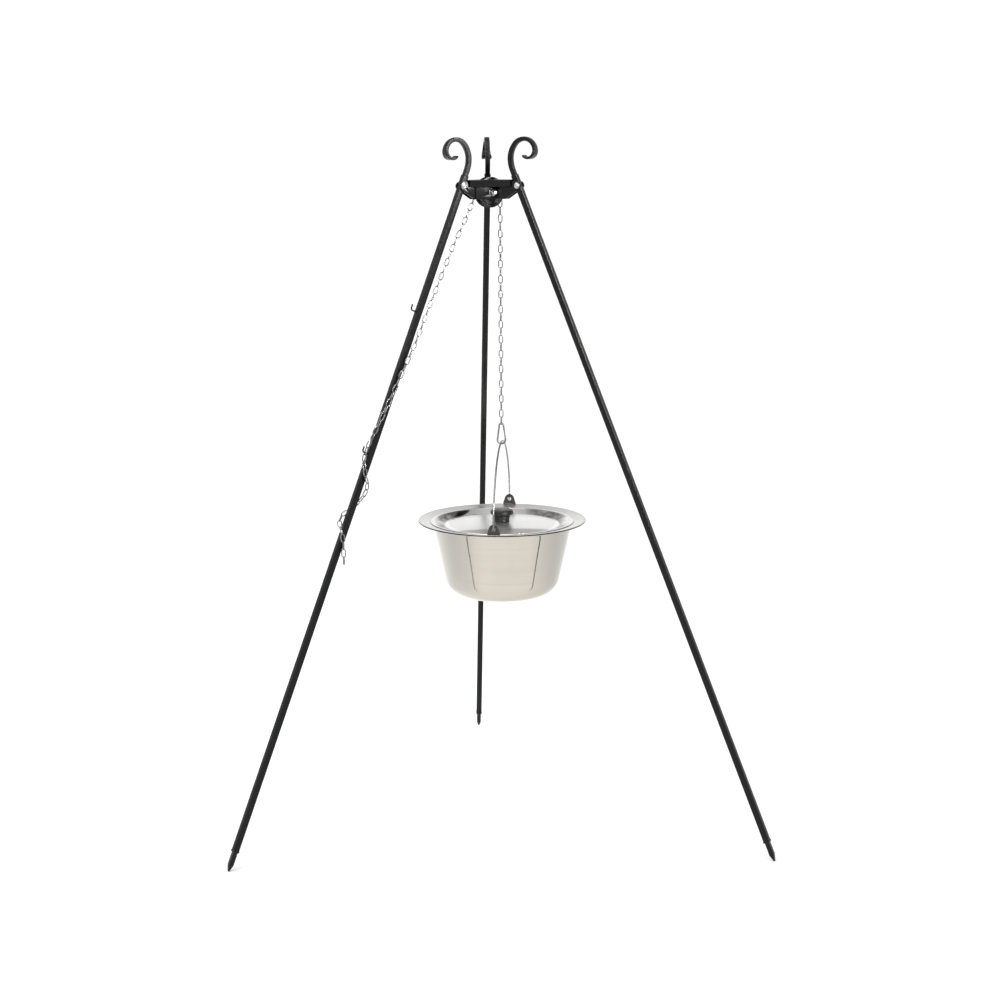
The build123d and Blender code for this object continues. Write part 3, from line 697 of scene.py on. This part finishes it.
def nut_insert(bore, low, outer_high, inner_high):
    """The nylon ring that shows inside a lock nut's collar."""
    outer = bore + 0.0007
    return lathe(rounded([(bore, low), (outer, low), (outer, outer_high), (bore, inner_high)], 0.0002), 36)


def washer_pair(centre, axis, face, inner, outer):
    return join(*[placed(washer(inner, outer, WASHER), axes(centre + axis * (side * face), axis * side))
                  for side in (-1, 1)])


# -------- legs
def pivot(leg):
    return joint_point(leg + "_leg_fold")


def leg_axes(leg):
    """Out of the leg's outer face, up along it, and across it, to azimuth - 90."""
    azimuth = LEGS[leg]
    out = direction(azimuth) * cos(LEG_LEAN) + UP * sin(LEG_LEAN)
    up = UP * cos(LEG_LEAN) - direction(azimuth) * sin(LEG_LEAN)
    return out, up, direction(azimuth - 90)


def leg_point(leg, out, along, across=0.0):
    out_dir, up_dir, across_dir = leg_axes(leg)
    return pivot(leg) + out_dir * out + up_dir * along + across_dir * across


def rounded_rectangle(half_x, half_y, corner, steps):
    """The points of a rectangle's four round corners, in turn."""
    points = []
    for quarter, (sx, sy) in enumerate(((1, 1), (-1, 1), (-1, -1), (1, -1))):
        for step in range(steps + 1):
            turn = radians(90 * quarter + 90 * step / steps)
            points.append((sx * (half_x - corner) + corner * cos(turn),
                           sy * (half_y - corner) + corner * sin(turn)))
    return points


def forged_ring(centre, x_dir, y_dir, half_x, half_y, corner, seed):
    """A rounded rectangle of points, a little uneven, as a hammer leaves it."""
    corners = rounded_rectangle(half_x, half_y, corner, 4)
    points, ring = [], []
    for k, (x, y) in enumerate(corners):
        points.append((x, y))
        if k % 5 == 4:
            next_x, next_y = corners[(k + 1) % len(corners)]
            points += [(x + (next_x - x) * share, y + (next_y - y) * share) for share in (0.33, 0.67)]
    for x, y in points:
        point = centre + x_dir * x + y_dir * y
        dent = 1 + 0.016 * noise.noise(point * 70 + Vector((seed, 0, 0)))
        ring.append(centre + (x_dir * x + y_dir * y) * dent)
    return ring


def scroll(leg, seed):
    """The forged bar's curl, which thins out and ends in a flared tail."""
    azimuth = LEGS[leg]
    out, across = direction(azimuth), direction(azimuth - 90)
    base = pivot(leg)
    rows = []
    for along in np.linspace(0.020, SCROLL_START, 8):
        u, z = -along * sin(LEG_LEAN), along * cos(LEG_LEAN)
        rows.append((u, z, -LEG_LEAN, BAR, 0.0))
    thickness = BAR
    for radius, start, end, end_thickness in SCROLL_ARCS:
        start = -degrees(LEG_LEAN) if start is None else start
        steps = max(6, int(abs(end - start) / 5))
        first = thickness
        for step in range(steps):
            a = radians(start + (end - start) * step / steps)
            b = radians(start + (end - start) * (step + 1) / steps)
            u += radius * (cos(a) - cos(b))
            z += radius * (sin(b) - sin(a))
            thickness = first + (end_thickness - first) * (step + 1) / steps
            rows.append((u, z, b, thickness, degrees(b)))
    rings = []
    for number, (u, z, turn, thickness, degree) in enumerate(rows):
        share = min(1.0, max(0.0, (degree - 95) / 150))
        share = share * share * (3 - 2 * share)
        width = BAR + (FISHTAIL_WIDTH - BAR) * share
        left = len(rows) - 1 - number
        tip = (0.55, 0.80, 0.93)[left] if left < 3 else 1.0
        centre = base + out * u + UP * z
        square = out * cos(turn) - UP * sin(turn)
        half_t, half_w = thickness / 2 * tip, width / 2 * (0.5 + 0.5 * tip)
        rings.append(forged_ring(centre, square, across, half_t, half_w, min(0.0016, half_t * 0.7), seed))
    return skin(rings)


def square_line(leg, along, half, corner, steps=6):
    return [leg_point(leg, x, along, y) for x, y in rounded_rectangle(half, half, corner, steps)]


def hook(distance):
    """A rod welded to the outer face, which bends up and ends in a round nose."""
    face, reach, rise, bend = TUBE_HALF, 0.016, 0.015, 0.0055
    flat = [(face - 0.0004, -distance), (face + reach - bend, -distance)]
    flat += arc((face + reach - bend, bend - distance), bend, -90, 0, 10)[1:]
    flat += [(face + reach, rise - distance)]
    line = even([leg_point("left", x, y) for x, y in flat], 0.001)
    rod = tube(line, 0.002, 20)
    root = [leg_point("left", face + 0.0002, -distance + y, x) for x, y in arc((0, 0), 0.0021, 0, 345, 23)]
    return join(rod, weld_bead(root, 0.0010, closed=True))


for number, leg in enumerate(LEGS):
    body = leg + "_leg"
    levels = (TUBE_TOP, TUBE_TOP - 0.0004, 0.0, -0.4, -0.8, -1.2, -1.5, TUBE_FOOT + 0.0004, TUBE_FOOT)
    wall = [square_line(leg, along, TUBE_HALF, TUBE_CORNER, 8) for along in levels]
    add_piece(leg + "_square_tube", skin(wall), body, coat, (leg + "_leg_tube",), angle=50)
    refined(leg + "_spike", body, 0.0006, coat)
    curl = scroll(leg, 7.0 * number + 1)
    add_piece(leg + "_scroll_bar", curl, body, forged_coat, (leg + "_scroll",), angle=50)
    top = weld_bead(square_line(leg, TUBE_TOP + 0.0003, 0.0070, 0.0016), 0.0013, closed=True)
    foot = weld_bead(square_line(leg, TUBE_FOOT, 0.0079, 0.0018), 0.0008, closed=True)
    add_piece(leg + "_leg_welds", join(top, foot), body, forged_coat, angle=60)
for node_name, distance in (("upper_hook", UPPER_HOOK), ("lower_hook", LOWER_HOOK)):
    add_piece(node_name + "_rod", hook(distance), "left_leg", coat, (node_name,), angle=50)


# -------- hub
def cap_seams(azimuth, face, start, end, radius):
    """Two weld beads under the cap plate, along the outer faces of what it carries."""
    out, across = direction(azimuth), direction(azimuth - 90)
    under = UP * (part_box("cap_plate")[1].z - CAP_THICKNESS - 0.0006)
    return [weld_bead([out * u + across * (side * (face + 0.0004)) + under for u in (start, end)], radius)
            for side in (-1, 1)]


refined("cap_plate", "hub", 0.0007, coat)
refined("roller_cheeks", "hub", 0.0007, coat)
seams = []
for leg, azimuth in LEGS.items():
    refined(leg + "_arm", "hub", 0.0007, coat)
    seams += cap_seams(azimuth, EAR_FACE, 0.043, 0.060, 0.0016)
seams += cap_seams(LEGS["left"], CHEEK_FACE, -0.026, 0.014, 0.0017)
add_piece("hub_welds", join(*seams), "hub", forged_coat, angle=60)


def add_nut(name, node, nut, insert, washers):
    """What holds a bolt: its lock nut, the nylon insert and two washers."""
    add_piece(name + "_lock_nut", nut, "hub", zinc, (node + "_nut",))
    add_piece(name + "_nut_insert", insert, "hub", nylon)
    add_piece(name + "_washer_pair", washers, "hub", zinc, (node + "_washers",))


for leg, azimuth in LEGS.items():
    axis = direction(azimuth - 90) * HEAD_SIDES[leg]
    face = EAR_FACE + WASHER
    head_at = axes(pivot(leg) + axis * face, axis, leg_axes(leg)[1])
    nut_at = axes(pivot(leg) - axis * face, -axis, leg_axes(leg)[1])
    head = join(placed(button_head(0.007, 0.0044, 0.005), head_at),
                placed(shank(0.0039, -2 * face + 0.001, 0.0005), head_at),
                placed(threaded_end(0.004, -0.002, 0.0094, 0.00125), nut_at))
    add_piece(leg + "_button_bolt", head, "hub", zinc, (leg + "_pivot_bolt",))
    nut = placed(lock_nut(0.013, 0.0058, 0.0041, (0.0046, 0.0061, 0.0022)), nut_at)
    insert = placed(nut_insert(0.0040, 0.0059, 0.0077, 0.0075), nut_at)
    washers = washer_pair(pivot(leg), axis, EAR_FACE, 0.0042, 0.008)
    add_nut(leg, leg + "_pivot", nut, insert, washers)

axle_front = axes(roller_centre + roller_axle * (CHEEK_FACE + WASHER), roller_axle)
axle_back = axes(roller_centre - roller_axle * (CHEEK_FACE + WASHER), -roller_axle)
bolt = join(placed(hexagon(0.016, 0.0064, 0.0004, (False, True)), axle_back),
            placed(shank(0.0049, -2 * (CHEEK_FACE + WASHER), 0.0005), axle_back),
            placed(threaded_end(0.005, -0.002, 0.0149, 0.0015), axle_front))
add_piece("roller_hex_bolt", bolt, "hub", zinc, ("roller_bolt",))
nut = placed(lock_nut(0.016, 0.0064, 0.0051, (0.0056, 0.0074, 0.0016)), axle_front)
insert = placed(nut_insert(0.0050, 0.0065, 0.0078, 0.0077), axle_front)
washers = washer_pair(roller_centre, roller_axle, CHEEK_FACE, 0.0052, 0.010)
add_nut("roller", "roller", nut, insert, washers)

side, web = -ROLLER_HALF_WIDTH, -ROLLER_HALF_WIDTH + 0.0010
wheel = [(0.0052, side), (0.0105, side), (0.0125, web), (0.0300, web),
         (0.0330, side), (0.0390, side), (0.0390, -0.0080), (0.0268, -0.0055)]
wheel += [(r, -z) for r, z in reversed(wheel)]
roller = placed(lathe(rounded(wheel, 0.0009, 3), 128), axes(roller_centre, roller_axle))
add_piece("chain_roller_wheel", roller, "roller", coat, ("chain_roller",))


# -------- chain
def link_template():
    """A bent and welded wire link: length along Z, width along X."""
    straight = LINK_HALF_LENGTH - LINK_HALF_WIDTH - LINK_WIRE
    r = LINK_HALF_WIDTH
    flat = [(r, -straight + 2 * straight * k / 12) for k in range(12)]
    flat += arc((0, straight), r, 0, 180, 14)
    flat += [(-r, straight - 2 * straight * k / 12) for k in range(1, 12)]
    flat += arc((0, -straight), r, 180, 360, 14)[:-1]
    radii = []
    for x, z in flat:
        weld = 0.22 * exp(-((z / 0.0011) ** 2)) if x > r * 0.95 else 0.0
        wear = 0.05 * exp(-(((abs(z) - straight - r) / 0.0015) ** 2))
        radii.append(LINK_WIRE * (1 + weld - wear))
    bm = tube([Vector((x, 0, z)) for x, z in flat], radii, sides=14, closed=True)
    mesh = bpy.data.meshes.new("link")
    bm.to_mesh(mesh)
    bm.free()
    return mesh


def link_frames(node):
    """One matrix per link of a CAD chain: its centre, width and length directions."""
    bm = bmesh.new()
    bm.from_mesh(nodes[node].data)
    bmesh.ops.remove_doubles(bm, verts=bm.verts, dist=1e-6)
    bm.faces.ensure_lookup_table()
    seen, frames = set(), []
    for face in bm.faces:
        if face.index in seen:
            continue
        seen.add(face.index)
        group, stack = [], [face]
        while stack:
            current = stack.pop()
            group.append(current)
            for edge in current.edges:
                for other in edge.link_faces:
                    if other.index not in seen:
                        seen.add(other.index)
                        stack.append(other)
        centres = np.array([f.calc_center_median() for f in group])
        areas = np.array([f.calc_area() for f in group])
        centre = (centres * areas[:, None]).sum(0) / areas.sum()
        off = centres - centre
        _, vectors = np.linalg.eigh((off * areas[:, None]).T @ off)
        length, width = Vector(vectors[:, 2]), Vector(vectors[:, 1])
        frames.append(axes(Vector(centre), length, width))
    bm.free()
    return sorted(frames, key=lambda m: -m.translation.z)


link_mesh = link_template()


def chain(node):
    whole = bmesh.new()
    for number, matrix in enumerate(link_frames(node)):
        turned = matrix @ Matrix.Rotation(pi * (number % 2), 4, "Z")
        start = len(whole.verts)
        whole.from_mesh(link_mesh)
        whole.verts.ensure_lookup_table()
        for vertex in whole.verts[start:]:
            vertex.co = turned @ vertex.co
    return whole


def add_links(name, node, body, ride=True):
    return add_piece(name, chain(node), body, chain_zinc, (node,), 60, ride)


add_links("links_over_roller", "roller_chain", "hub")
add_links("links_free_end", "free_chain_end", "left_leg")
add_links("links_hanging_lower", "hanging_chain_lower", "pot_hanger")
upper = add_links("links_hanging_upper", "hanging_chain_upper", "swinging_chain")
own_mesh(upper)
tail = add_links("links_tail", "tail_chain", None, ride=False)
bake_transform(tail)


# -------- snap hook
snap_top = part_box("carabiner_body")[1].z - SNAP_WIRE
snap_out = direction(351)
snap_side = direction(261)
snap_origin = Vector((hang_point.x, hang_point.y, snap_top - SNAP_TOP_RADIUS))
taper = asin((SNAP_BOTTOM_RADIUS - SNAP_TOP_RADIUS) / SNAP_CENTRES)
side_start = Vector((SNAP_TOP_RADIUS * cos(taper), SNAP_TOP_RADIUS * sin(taper)))
side_end = Vector((SNAP_BOTTOM_RADIUS * cos(taper), SNAP_BOTTOM_RADIUS * sin(taper) - SNAP_CENTRES))
side_way = (side_end - side_start).normalized()


def snap_point(flat):
    return snap_origin + snap_out * flat[0] + UP * flat[1]


nose = side_start + side_way * (GATE_PIN_DOWN + GATE_LENGTH + 0.0005)
flat = [tuple(nose), tuple(side_end)]
flat += arc((0, -SNAP_CENTRES), SNAP_BOTTOM_RADIUS, degrees(taper), -180 - degrees(taper), 40)[1:]
flat += [(-side_start.x, side_start.y)]
flat += arc((0, 0), SNAP_TOP_RADIUS, 180 - degrees(taper), degrees(taper), 28)[1:]
flat += [tuple(side_start + side_way * (GATE_PIN_DOWN - 0.0034))]
body_line = even([snap_point(p) for p in flat], 0.001)
gate_pin = side_start + side_way * GATE_PIN_DOWN
gate_way = snap_out * side_way.x + UP * side_way.y
pin_at = axes(snap_point(gate_pin), snap_side, gate_way)


def gate_plate(flat, levels):
    """A plate across the gate's pin, with its flat outline scaled at each (scale, z) level."""
    return placed(skin([[Vector((x * s, y * s, z)) for x, y in flat] for s, z in levels]), pin_at)


tongue = arc((0, 0), 0.0021, -90, 90, 14) + [(-0.0044, 0.0018), (-0.0044, -0.0018)]
tongue = gate_plate(tongue, ((0.9, -0.001), (1.0, -0.0008), (1.0, 0.0008), (0.9, 0.001)))
body = join(tube(body_line, SNAP_WIRE * INSIDE, 28), tongue)
add_piece("snap_hook_wire", body, "pot_hanger", wire_steel, ("carabiner_body",), 45)

profile = [(0.0, 0.0034), (0.0024, 0.0034), (0.0024, 0.0042), (0.00205, 0.0052), (0.00205, 0.0180),
           (0.0024, 0.0190), (0.0024, 0.0234), (0.0019, GATE_LENGTH), (0.0, GATE_LENGTH)]
barrel = lathe(rounded(profile, 0.0003, 3, loop=False), 40, loop=False)
gate_at = axes(snap_point(gate_pin), gate_way, snap_out)
cheek = arc((0, 0), 0.0023, 90, 270, 12) + [(0.0040, -0.0022), (0.0040, 0.0022)]
levels = ((0.92, 0.00122), (1.0, 0.00135), (1.0, 0.0017), (0.92, 0.0019))
cheeks = [gate_plate(cheek, [(s, side * z) for s, z in levels]) for side in (-1, 1)]
gate = join(placed(barrel, gate_at), *cheeks)
add_piece("snap_gate_barrel", gate, "snap_gate", wire_steel, ("carabiner_gate",), 40)
rivet = [(0.0, -0.0024), (0.0010, -0.0023), (0.0013, -0.0020), (0.00095, -0.0019), (0.00095, 0.0019),
         (0.0013, 0.0020), (0.0010, 0.0023), (0.0, 0.0024)]
rivet = placed(lathe(rivet, 24, loop=False), pin_at)
add_piece("snap_gate_rivet", rivet, "pot_hanger", wire_steel, ("gate_rivet",))


# -------- bail
bail_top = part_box("bail_wire")[1].z - BAIL_WIRE
hole_height = joint_point("pot_tilt").z
bail_out = direction(81)
shoulder_start = hole_height + BAIL_BEND
rise = bail_top - shoulder_start
s, c = sin(radians(BAIL_SHOULDER)), cos(radians(BAIL_SHOULDER))
shoulder_radius = (rise - BAIL_HALF_SPAN * (1 - s) / c) / (s - (1 - c) * (1 - s) / c)
crown_radius = (BAIL_HALF_SPAN - shoulder_radius * (1 - c)) / c
curl = (LUG_RADIUS - 0.0058, hole_height + BAIL_CURL)
half = [(curl[0] - BAIL_CURL, curl[1] + 0.0030), (curl[0] - BAIL_CURL, curl[1])]
half += arc(curl, BAIL_CURL, 180, 270, 8)[1:]
half += arc((BAIL_HALF_SPAN - BAIL_BEND, shoulder_start), BAIL_BEND, -90, 0, 12)
half += arc((BAIL_HALF_SPAN - shoulder_radius, shoulder_start), shoulder_radius, 0, BAIL_SHOULDER, 14)[1:]
half += arc((0, bail_top - crown_radius), crown_radius, BAIL_SHOULDER, 90, 30)[1:]
whole = half + [(-x, y) for x, y in reversed(half[:-1])]
line = even([pot_axis + bail_out * x + UP * y for x, y in whole], 0.0025)
bail = tube(line, BAIL_WIRE * INSIDE, 24)
add_piece("bail_bent_wire", bail, "pot_hanger", wire_steel, ("bail_wire",), 60)


# -------- pot
def curve(points, steps):
    """A smooth line through (radius, height) points."""
    out = []
    padded = [points[0]] + list(points) + [points[-1]]
    for a, b, c, d in zip(padded, padded[1:], padded[2:], padded[3:]):
        for k in range(steps):
            t = k / steps
            out.append(tuple(
                0.5 * (2 * b[i] + (c[i] - a[i]) * t + (2 * a[i] - 5 * b[i] + 4 * c[i] - d[i]) * t * t
                       + (3 * b[i] - a[i] - 3 * c[i] + d[i]) * t ** 3) for i in (0, 1)))
    return out + [tuple(points[-1])]


def tangent_arc(start, tangent, end, steps):
    """Points of the arc from start, which leaves along tangent, to end."""
    start, end, tangent = Vector(start), Vector(end), Vector(tangent).normalized()
    normal = Vector((-tangent.y, tangent.x))
    chord = end - start
    radius = chord.length_squared / (2 * normal.dot(chord))
    centre = start + normal * radius
    a0 = atan2(start.y - centre.y, start.x - centre.x)
    a1 = atan2(end.y - centre.y, end.x - centre.x)
    turn = (a1 - a0 + pi) % (2 * pi) - pi
    return arc(centre, abs(radius), degrees(a0), degrees(a0 + turn), steps)


def between(a, b, count):
    """The points after a on a straight line to b, which is the last of count."""
    return [(a[0] + (b[0] - a[0]) * k / count, a[1] + (b[1] - a[1]) * k / count) for k in range(1, count + 1)]


def thickened(line, thickness):
    """The line and, back again, its offset to the left."""
    line = [(float(x), float(y)) for x, y in line]
    inner = []
    for k in range(len(line)):
        a, b = Vector(line[max(k - 1, 0)]), Vector(line[min(k + 1, len(line) - 1)])
        tangent = (b - a).normalized()
        inner.append((max(line[k][0] - tangent.y * thickness, 0.0), line[k][1] + tangent.x * thickness))
    return line + list(reversed(inner))


base_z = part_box("pot_shell")[0].z
heel_end, wall_end = (HEEL_RADIUS, base_z + HEEL_RISE), (WALL_TOP_RADIUS, RIM_Z - 0.013)
throat_end = (THROAT_RADIUS, RIM_Z - 0.0048)
shell = [(r, base_z + 0.0012 * max(0.0, 1 - r / 0.094)) for r in np.linspace(0, BASE_RADIUS - 0.001, 10)]
shell += tangent_arc((BASE_RADIUS, base_z), (1, 0), heel_end, 22)
shell += between(heel_end, wall_end, 12)
shell += tangent_arc(wall_end, Vector(wall_end) - Vector(heel_end), throat_end, 14)[1:]
shell += between(throat_end, (RIM_RADIUS - 0.0010, RIM_Z - 0.0001), 6)
bead = lathe(arc((RIM_RADIUS, RIM_Z - 0.0006), 0.0020, 0, 340, 17), 224)
pot = join(lathe(thickened(shell, POT_WALL), 224), bead)
pot_at = Matrix.Translation(pot_axis)
add_piece("pot_spun_shell", placed(pot, pot_at), "pot", pot_stainless, ("pot_shell",), angle=60)


def lug_rings():
    """The lug's outline and hole through its thickness: (across, height, depth) from the hole."""
    foot = RIM_Z + 0.0014 - hole_height
    shape = [(0, foot), (LUG_HALF_WIDTH, foot), (LUG_HALF_WIDTH, foot + 0.0036)]
    reach = hypot(LUG_HALF_WIDTH, foot + 0.0040)
    touch = atan2(foot + 0.0040, LUG_HALF_WIDTH) + acos(LUG_TOP_RADIUS / reach)
    shape += arc((0, 0), LUG_TOP_RADIUS, degrees(touch), 90, 18)
    shape += [(-x, y) for x, y in reversed(shape[1:-1])]
    line = even([Vector(p) for p in shape + [shape[0]]], 0.0011)[:-1]
    outers, holes = [], []
    depth = LUG_HALF_THICKNESS
    for grow, out in ((-0.0006, -depth), (-0.0002, -depth + 0.0002), (0, -depth + 0.0006),
                      (0, depth - 0.0006), (-0.0002, depth - 0.0002), (-0.0006, depth)):
        outer, hole = [], []
        for k, here in enumerate(line):
            way = (line[(k + 1) % len(line)] - line[k - 1]).normalized()
            outer.append(Vector((here.x + way.y * grow, here.y - way.x * grow, out)))
            hole.append(here.to_3d().normalized() * (LUG_HOLE_RADIUS - grow) + UP * out)
        outers.append(outer)
        holes.append(hole)
    return outers + holes[::-1]


for lug, azimuth in (("front_lug", 261.0), ("rear_lug", 81.0)):
    out, across = direction(azimuth), direction(azimuth + 90)
    hole = basis(across, UP, out, pot_axis + out * LUG_RADIUS + UP * hole_height)
    add_piece(lug + "_plate", placed(skin(lug_rings(), loop=True), hole), "pot", lug_enamel, (lug,))
    beads = []
    for side in (-1, 1):
        for offset in (-0.0016, 0.0016):
            root = pot_axis + out * (LUG_RADIUS + offset) + UP * (RIM_Z + 0.0020)
            ends = [root + across * (side * u) for u in (0.0085, 0.0158)]
            beads.append(weld_bead(ends, 0.0010, step=0.0009))
    add_piece(lug + "_welds", join(*beads), "pot", lug_enamel, angle=60)


# -------- lid
dome = tangent_arc((0.0, LID_CROWN), (1, 0), (0.150, LID_Z - 0.0099), 30)
groove = ((0.1530, 0.01045), (0.1560, 0.0106), (0.1590, 0.0094), (0.1776, 0.0022), (0.1800, 0.0011),
          (0.1830, 0.0002), (0.1860, 0.0), (0.1871, 0.0003), (0.1878, 0.0009))
lid_line = dome[:-1] + curve([dome[-1]] + [(radius, LID_Z - depth) for radius, depth in groove], 5)
lid = lathe(rounded(thickened(lid_line, LID_WALL), 0.0002, 1), 224)
add_piece("lid_pressed_shell", placed(lid, pot_at), "lid", lid_stainless, ("lid_shell",), angle=60)

knob_z = LID_CROWN + 0.0011
knob = [(0.0002, 0.0), (0.0188, 0.0), (0.0195, 0.0006), (0.0196, 0.0020), (0.0205, 0.0080),
        (0.0217, 0.0140), (0.0222, 0.0158), (0.0221, 0.0166), (0.0240, 0.0174), (0.0276, 0.0186),
        (0.0294, 0.0206), (0.0302, 0.0232), (0.0298, 0.0256), (0.0284, 0.0290), (0.0258, 0.0313),
        (0.0240, 0.0322), (0.0228, 0.0322), (0.0216, 0.0327), (0.0110, 0.0336), (0.0002, 0.0338)]
turned = placed(lathe(curve(knob, 5), 96, loop=True), Matrix.Translation(pot_axis + UP * knob_z))
add_piece("lid_turned_knob", turned, "lid", knob_plastic, ("lid_knob",), angle=60)

under = axes(pot_axis + UP * (LID_CROWN - 0.0012), -UP, Vector((1, 0, 0)))
screw = placed(join(button_head(0.0046, 0.0032, 0.0030), shank(0.0022, -0.0135, 0.0005)), under)
add_piece("knob_pan_screw", screw, "lid", zinc, ("knob_screw",))
flat_washer = placed(washer(0.0027, 0.0065, 0.0011), axes(pot_axis + UP * (LID_CROWN - 0.0012), UP))
add_piece("knob_flat_washer", flat_washer, "lid", zinc, ("knob_washer",))


# -------- studio
def floor_material():
    shader = Shader("studio_floor", specular=0.2)
    cloud = shader.spread(shader.noise(0.7, 4), 0.3, 0.7)
    tone = shader.mix(cloud, (0.90, 0.90, 0.90), (0.93, 0.93, 0.93))
    return shader.finished(tone, shader.mottled(30.0, 3, 0.70, 0.85), (shader.noise(400.0, 3), 0.00005))


floor_profile = [(0.0, 0.0), (3.0, 0.0), (12.0, 0.0), (60.0, 0.0), (60.0, -0.02), (0.0, -0.02)]
floor_mesh = smooth(lathe(floor_profile, 96, loop=False))
floor_mesh.materials.append(floor_material())
floor = bpy.data.objects.new("studio_floor", floor_mesh)
floor.location.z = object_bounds()[0][2] - 0.0005
scene.collection.objects.link(floor)

world = bpy.data.worlds.new("studio")
world.use_nodes = True
scene.world = world
tree = world.node_tree
background = tree.nodes["Background"]
split = tree.nodes.new("ShaderNodeSeparateXYZ")
tree.links.new(tree.nodes.new("ShaderNodeTexCoord").outputs["Generated"], split.inputs[0])
ramp = tree.nodes.new("ShaderNodeValToRGB")
ramp.color_ramp.interpolation = "EASE"
# Bright below and overhead, greyer in between, so that polished steel has something to mirror
stops = ((0.0, 1.0), (0.29, 1.0), (0.44, 0.50), (0.70, 0.44), (0.95, 0.95))
elements = ramp.color_ramp.elements
elements[0].position, elements[1].position = stops[0][0], stops[-1][0]
for position, _ in stops[1:-1]:
    elements.new(position)
for element, (_, value) in zip(elements, stops):
    element.color = (value, value, value, 1.0)
tree.links.new(split.outputs[2], ramp.inputs[0])
tree.links.new(ramp.outputs[0], background.inputs[0])
background.inputs[1].default_value = 1.02


def area_light(name, position, target, size, power, spread=180):
    light = bpy.data.lights.new(name, "AREA")
    light.shape = "RECTANGLE"
    light.size, light.size_y = size
    light.energy = power
    light.spread = radians(spread)
    place = axes(Vector(position), Vector(position) - Vector(target), UP)
    add_object(name, light).matrix_world = place


# A key from the front left, and two narrow lights for the right leg and for the scrolls
area_light("key", (-3.4, -3.6, 4.4), (0, 0, 0.9), (2.2, 2.2), 70)
area_light("strip", (2.2, -3.8, 3.4), (0.25, -0.1, 1.42), (1.6, 1.6), 13, 22)
area_light("softbox", (3.6, -2.1, 2.3), (-0.1, 0, 1.77), (1.0, 0.6), 2.8, 30)
sun = bpy.data.lights.new("sun", "SUN")
sun.energy, sun.angle = 2.0, radians(60)
add_object("sun", sun).matrix_world = axes(Vector((-2, -3, 8)), Vector((-0.35, -0.45, 1.0)), UP)

# -------- camera
distance, height, azimuth = 5.0, 1.7948, radians(3.12)
pitch, heading, roll = radians(9.4), radians(3.12 - 2.13), radians(-0.72)
forward = Vector((sin(heading) * cos(pitch), cos(heading) * cos(pitch), -sin(pitch)))
right = forward.cross(UP).normalized()
above = right.cross(forward)
right, above = right * cos(roll) + above * sin(roll), above * cos(roll) - right * sin(roll)
camera_data = bpy.data.cameras.new("camera")
camera_data.sensor_width = 36.0
camera_data.lens = 69.56
camera_data.shift_x, camera_data.shift_y = 0.08, -0.04
camera_data.clip_end = 200.0
camera = add_object("camera", camera_data)
eye = (-distance * sin(azimuth), -distance * cos(azimuth), height)
camera.matrix_world = basis(right, above, -forward, eye)
scene.camera = camera
scene.view_settings.view_transform = "Standard"
